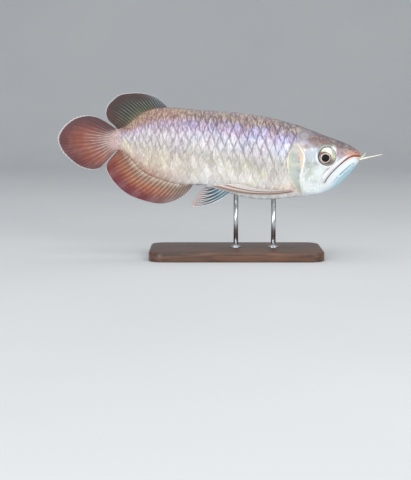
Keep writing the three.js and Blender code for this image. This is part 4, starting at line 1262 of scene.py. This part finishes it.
# The anal fin's pale root is partly the scaly sheath's own colour and partly painted light that lifts the
# shade where the fin meets the body
anal_finish = fin_finish(
    "anal_web",
    [
        (0.0, "#e0d5c8"), (0.1, "#ad9c8d"), (0.26, "#80624f"), (0.48, "#8a5038"), (0.72, "#68272a"),
        (1.0, "#4f1e2b"),
    ],
    [(0.0, "#ece2d5"), (0.3, "#cdb49d"), (0.52, "#ad755a"), (0.76, "#803f3f"), (1.0, "#6e3748")],
    "#ebe2e4",
    ray_width=0.035,
    lobes=[
        {"share": (0.5, 0.95), "strength": 0.55, "web": "#6a2a1b", "ray": "#8a4932"},
        {"share": (0.46, 0.1), "strength": 0.8, "web": "#5f5753", "ray": "#a89f95"},
    ],
)
caudal_finish = fin_finish(
    "caudal_web",
    [
        (0.0, "#bba29e"), (0.1, "#a68c87"), (0.22, "#876b65"), (0.38, "#7a5148"), (0.6, "#7b4136"),
        (0.85, "#5d2a28"), (1.0, "#4d272c"),
    ],
    [
        (0.0, "#dac6c3"), (0.1, "#e2d1cd"), (0.25, "#dfccc6"), (0.42, "#b58575"), (0.6, "#935643"),
        (0.85, "#60312e"), (1.0, "#5c3338"),
    ],
    "#ece5e7",
    lobes=[
        {"share": (0.42, 0.2), "strength": 0.8, "web": "#38242b", "ray": "#573f46"},
        {"share": (0.78, 0.98), "strength": 0.5, "web": "#604a50", "ray": "#9f898f"},
    ],
)
for name, finish, slot, ripple in (
    ("dorsal_fin", dorsal_finish, "dorsal", 0.5),
    ("anal_fin", anal_finish, "fin", 0.5),
    ("caudal_fin", caudal_finish, "fin", 0.35),
):
    fin_piece(name, MEDIAN_FINS[name], finish, ripple=ripple)


# Paired fins
# The long pectoral fins lie back along the belly with a stout first ray below, and the small pelvic
# fins hang from the belly's edge. They are made as the median fins are, but curve in space.
def on_side(points, side):
    return [(px, side * py, pz) for px, py, pz in points]


PECTORAL = {
    "root": [(77, 7.5, -51), (76, 9, -48.6), (75, 10.2, -46.4)],
    "margin": [(-44, 25, -42.2), (-35, 24.8, -42), (-25, 24.4, -41.4), (-13, 24, -40.6), (0, 23.6, -40)],
    "arch": (0, 0.028, -0.066),
    "normal": (0, 1, 0.35),
}
PELVIC = {
    "root": [(-10, 3.2, -51.6), (-19, 4.2, -48.4), (-29, 5, -44.6)],
    "margin": [
        (-61, 14.6, -71.2), (-59.4, 14.2, -66.8), (-56, 13, -60.8), (-50.8, 11, -53.6), (-45, 9, -47.4),
    ],
    "arch": (0.03, 0.011, -0.095),
    "normal": (0.1, 1, 0.3),
}
pectoral_finish = fin_finish(
    "pectoral_web",
    [(0.0, "#d9a98f"), (0.3, "#a5857a"), (0.75, "#9a8279"), (1.0, "#b9a194")],
    [(0.0, "#ecd2be"), (0.4, "#e5d4c9"), (0.8, "#e0d2c8"), (1.0, "#d9cdc3")],
    "#d9cfc6",
    stripes=[
        (0.0, "#cdbcb2"), (0.05, "#cdbcb2"), (0.1, "#7b6862"), (0.36, "#83706a"), (0.41, "#ddcdc4"),
        (0.5, "#d9cac2"), (0.54, "#7f6c66"), (0.63, "#87756f"), (0.67, "#dbd3cd"), (0.76, "#d9d4d0"),
        (0.79, "#968d88"), (0.82, "#dcdad6"), (0.9, "#dcdad6"), (0.93, "#a8a19d"), (0.96, "#e0deda"),
    ],
)
pelvic_finish = fin_finish(
    "pelvic_web",
    [(0.0, "#a3bdc8"), (0.2, "#537583"), (0.5, "#2d3b47"), (0.8, "#4c4448"), (1.0, "#7d6561")],
    [(0.0, "#f6fafb"), (0.4, "#e4edf1"), (0.8, "#cfcacc"), (1.0, "#cdb5ae")],
    "#dccfca",
    lobes=[{"share": (0.1, 0.0), "strength": 0.9, "web": "#eef3f5", "ray": "#f4f7f8"}],
)
for side_name, side in (("right", -1), ("left", 1)):
    for fin_name, shape, finish, rays in (
        ("pectoral_fin_", PECTORAL, pectoral_finish, 7), ("pelvic_fin_", PELVIC, pelvic_finish, 6),
    ):
        fin = {
            "root": on_side(shape["root"], side),
            "margin": on_side(shape["margin"], side),
            "arch": on_side([shape["arch"]], side)[0],
            "rays": rays,
        }
        facing = on_side([shape["normal"]], side)[0]
        fin_piece(
            fin_name + side_name, fin, finish, facing,
            steps=40, root_depth=1.0, tip_depth=0.35, ripple=0.2,
        )


# Stand
# A flat board of dark oiled hardwood with a rounded edge carries two polished steel rods, each let into
# the board through a turned collar and pushed up into the belly.
BASE_SIZE = (0.220, 0.104, 0.012)
BASE_CORNER = 0.018
BASE_ROUNDING = {"top": 0.0026, "underside": 0.0008}
ROD_RADIUS = 0.003
ROD_LET_IN = 0.002
ROD_PUSH = 0.004  # how far a rod's head is pushed up into the belly
# The collar's outline, as its radius and its height over the board
COLLAR_OUTLINE = [
    (0.0030, 0.0), (0.0068, 0.0), (0.0068, 0.0010), (0.0060, 0.0018), (0.0042, 0.0022), (0.0036, 0.0034),
    (0.0030, 0.0034),
]
ROD_PLACES = {"stand_rod_front": 44, "stand_rod_rear": -4}


def round_edges(shape, edges, offset, segments):
    bmesh.ops.bevel(
        shape, geom=edges, offset=offset, offset_type="OFFSET", segments=segments, profile=0.5,
        affect="EDGES", material=-1,
    )


board = bmesh.new()
bmesh.ops.create_cube(board, size=1)
bmesh.ops.scale(board, vec=BASE_SIZE, verts=board.verts)
bmesh.ops.translate(board, vec=(0, 0, BASE_SIZE[2] / 2), verts=board.verts)
uprights = [e for e in board.edges if abs(e.verts[0].co.z - e.verts[1].co.z) > 0.001]
round_edges(board, uprights, BASE_CORNER, 12)
for height, offset in ((BASE_SIZE[2], BASE_ROUNDING["top"]), (0.0, BASE_ROUNDING["underside"])):
    level_edges = [e for e in board.edges if all(abs(v.co.z - height) < 1e-6 for v in e.verts)]
    round_edges(board, [e for e in level_edges if len(e.link_faces) == 2], offset, 4)

wood, wood_tree, wood_shader = new_material("oiled_hardwood", Coat_Weight=0.2, Coat_Roughness=0.3)
wood_place = object_place(wood_tree)
grain_warp = noise(wood_place, 14, 3.0, (0.35, 1, 1))
grain_place = add_node(wood_tree, "Mapping", {"Vector": wood_place, "Scale": (1.4, 16, 16)}).outputs[0]
grain_noise = add_node(
    wood_tree, "TexNoise", {"Vector": grain_place, "Scale": 16.0, "Detail": 6.0, "Distortion": 0.6},
).outputs["Fac"]
fibres = noise(wood_place, 900, 3.0, (0.06, 1, 1))
grain = plus(product(grain_noise, 0.75), product(grain_warp, 0.35))
wood_colour = ramp(grain, [(0.38, "#2a1a12"), (0.52, "#4a2f20"), (0.62, "#5d3d2a"), (0.78, "#6e4a33")])
feed(
    wood_shader,
    Base_Color=tint(product(between(fibres, 0.55, 0.75), 0.4), wood_colour, "#22140d"),
    Roughness=remapped(fibres, 0.34, 0.52),
    Normal=raised(fibres, 0.25, 0.0002),
)
finish_piece(board, "stand_board", wood, ("stand_base",))

steel, steel_tree, steel_shader = new_material("polished_steel", Metallic=1.0)
brushed = noise(object_place(steel_tree), 1500, 2.0, (1, 1, 0.03))
feed(
    steel_shader, Base_Color=ramp(brushed, [(0.3, "#b4b7ba"), (0.7, "#c6c9cb")]),
    Roughness=remapped(brushed, 0.16, 0.3), Normal=raised(brushed, 0.1, 0.00005),
)
for name, rod_x in ROD_PLACES.items():
    belly = FISH_FRAME @ Vector((rod_x, 0, float(belly_z(float(rod_x)))))
    head = belly.z + ROD_PUSH
    foot = BASE_SIZE[2] - ROD_LET_IN
    rod = bmesh.new()
    bmesh.ops.create_cone(
        rod, cap_ends=True, segments=40, radius1=ROD_RADIUS, radius2=ROD_RADIUS, depth=head - foot,
    )
    bmesh.ops.translate(rod, vec=(0, 0, (head + foot) / 2), verts=rod.verts)
    # The collar is turned: its outline spins once round the rod
    corners = [rod.verts.new((radius, 0, BASE_SIZE[2] + rise)) for radius, rise in COLLAR_OUTLINE]
    outline = [rod.edges.new(pair) for pair in zip(corners, corners[1:])]
    bmesh.ops.spin(
        rod, geom=corners + outline, cent=(0, 0, 0), axis=(0, 0, 1), angle=2 * math.pi, steps=40,
        use_merge=True,
    )
    bmesh.ops.remove_doubles(rod, verts=rod.verts, dist=1e-6)
    bmesh.ops.recalc_face_normals(rod, faces=rod.faces)
    bmesh.ops.translate(rod, vec=(belly.x, 0, 0), verts=rod.verts)
    finish_piece(rod, name, steel, (name,))
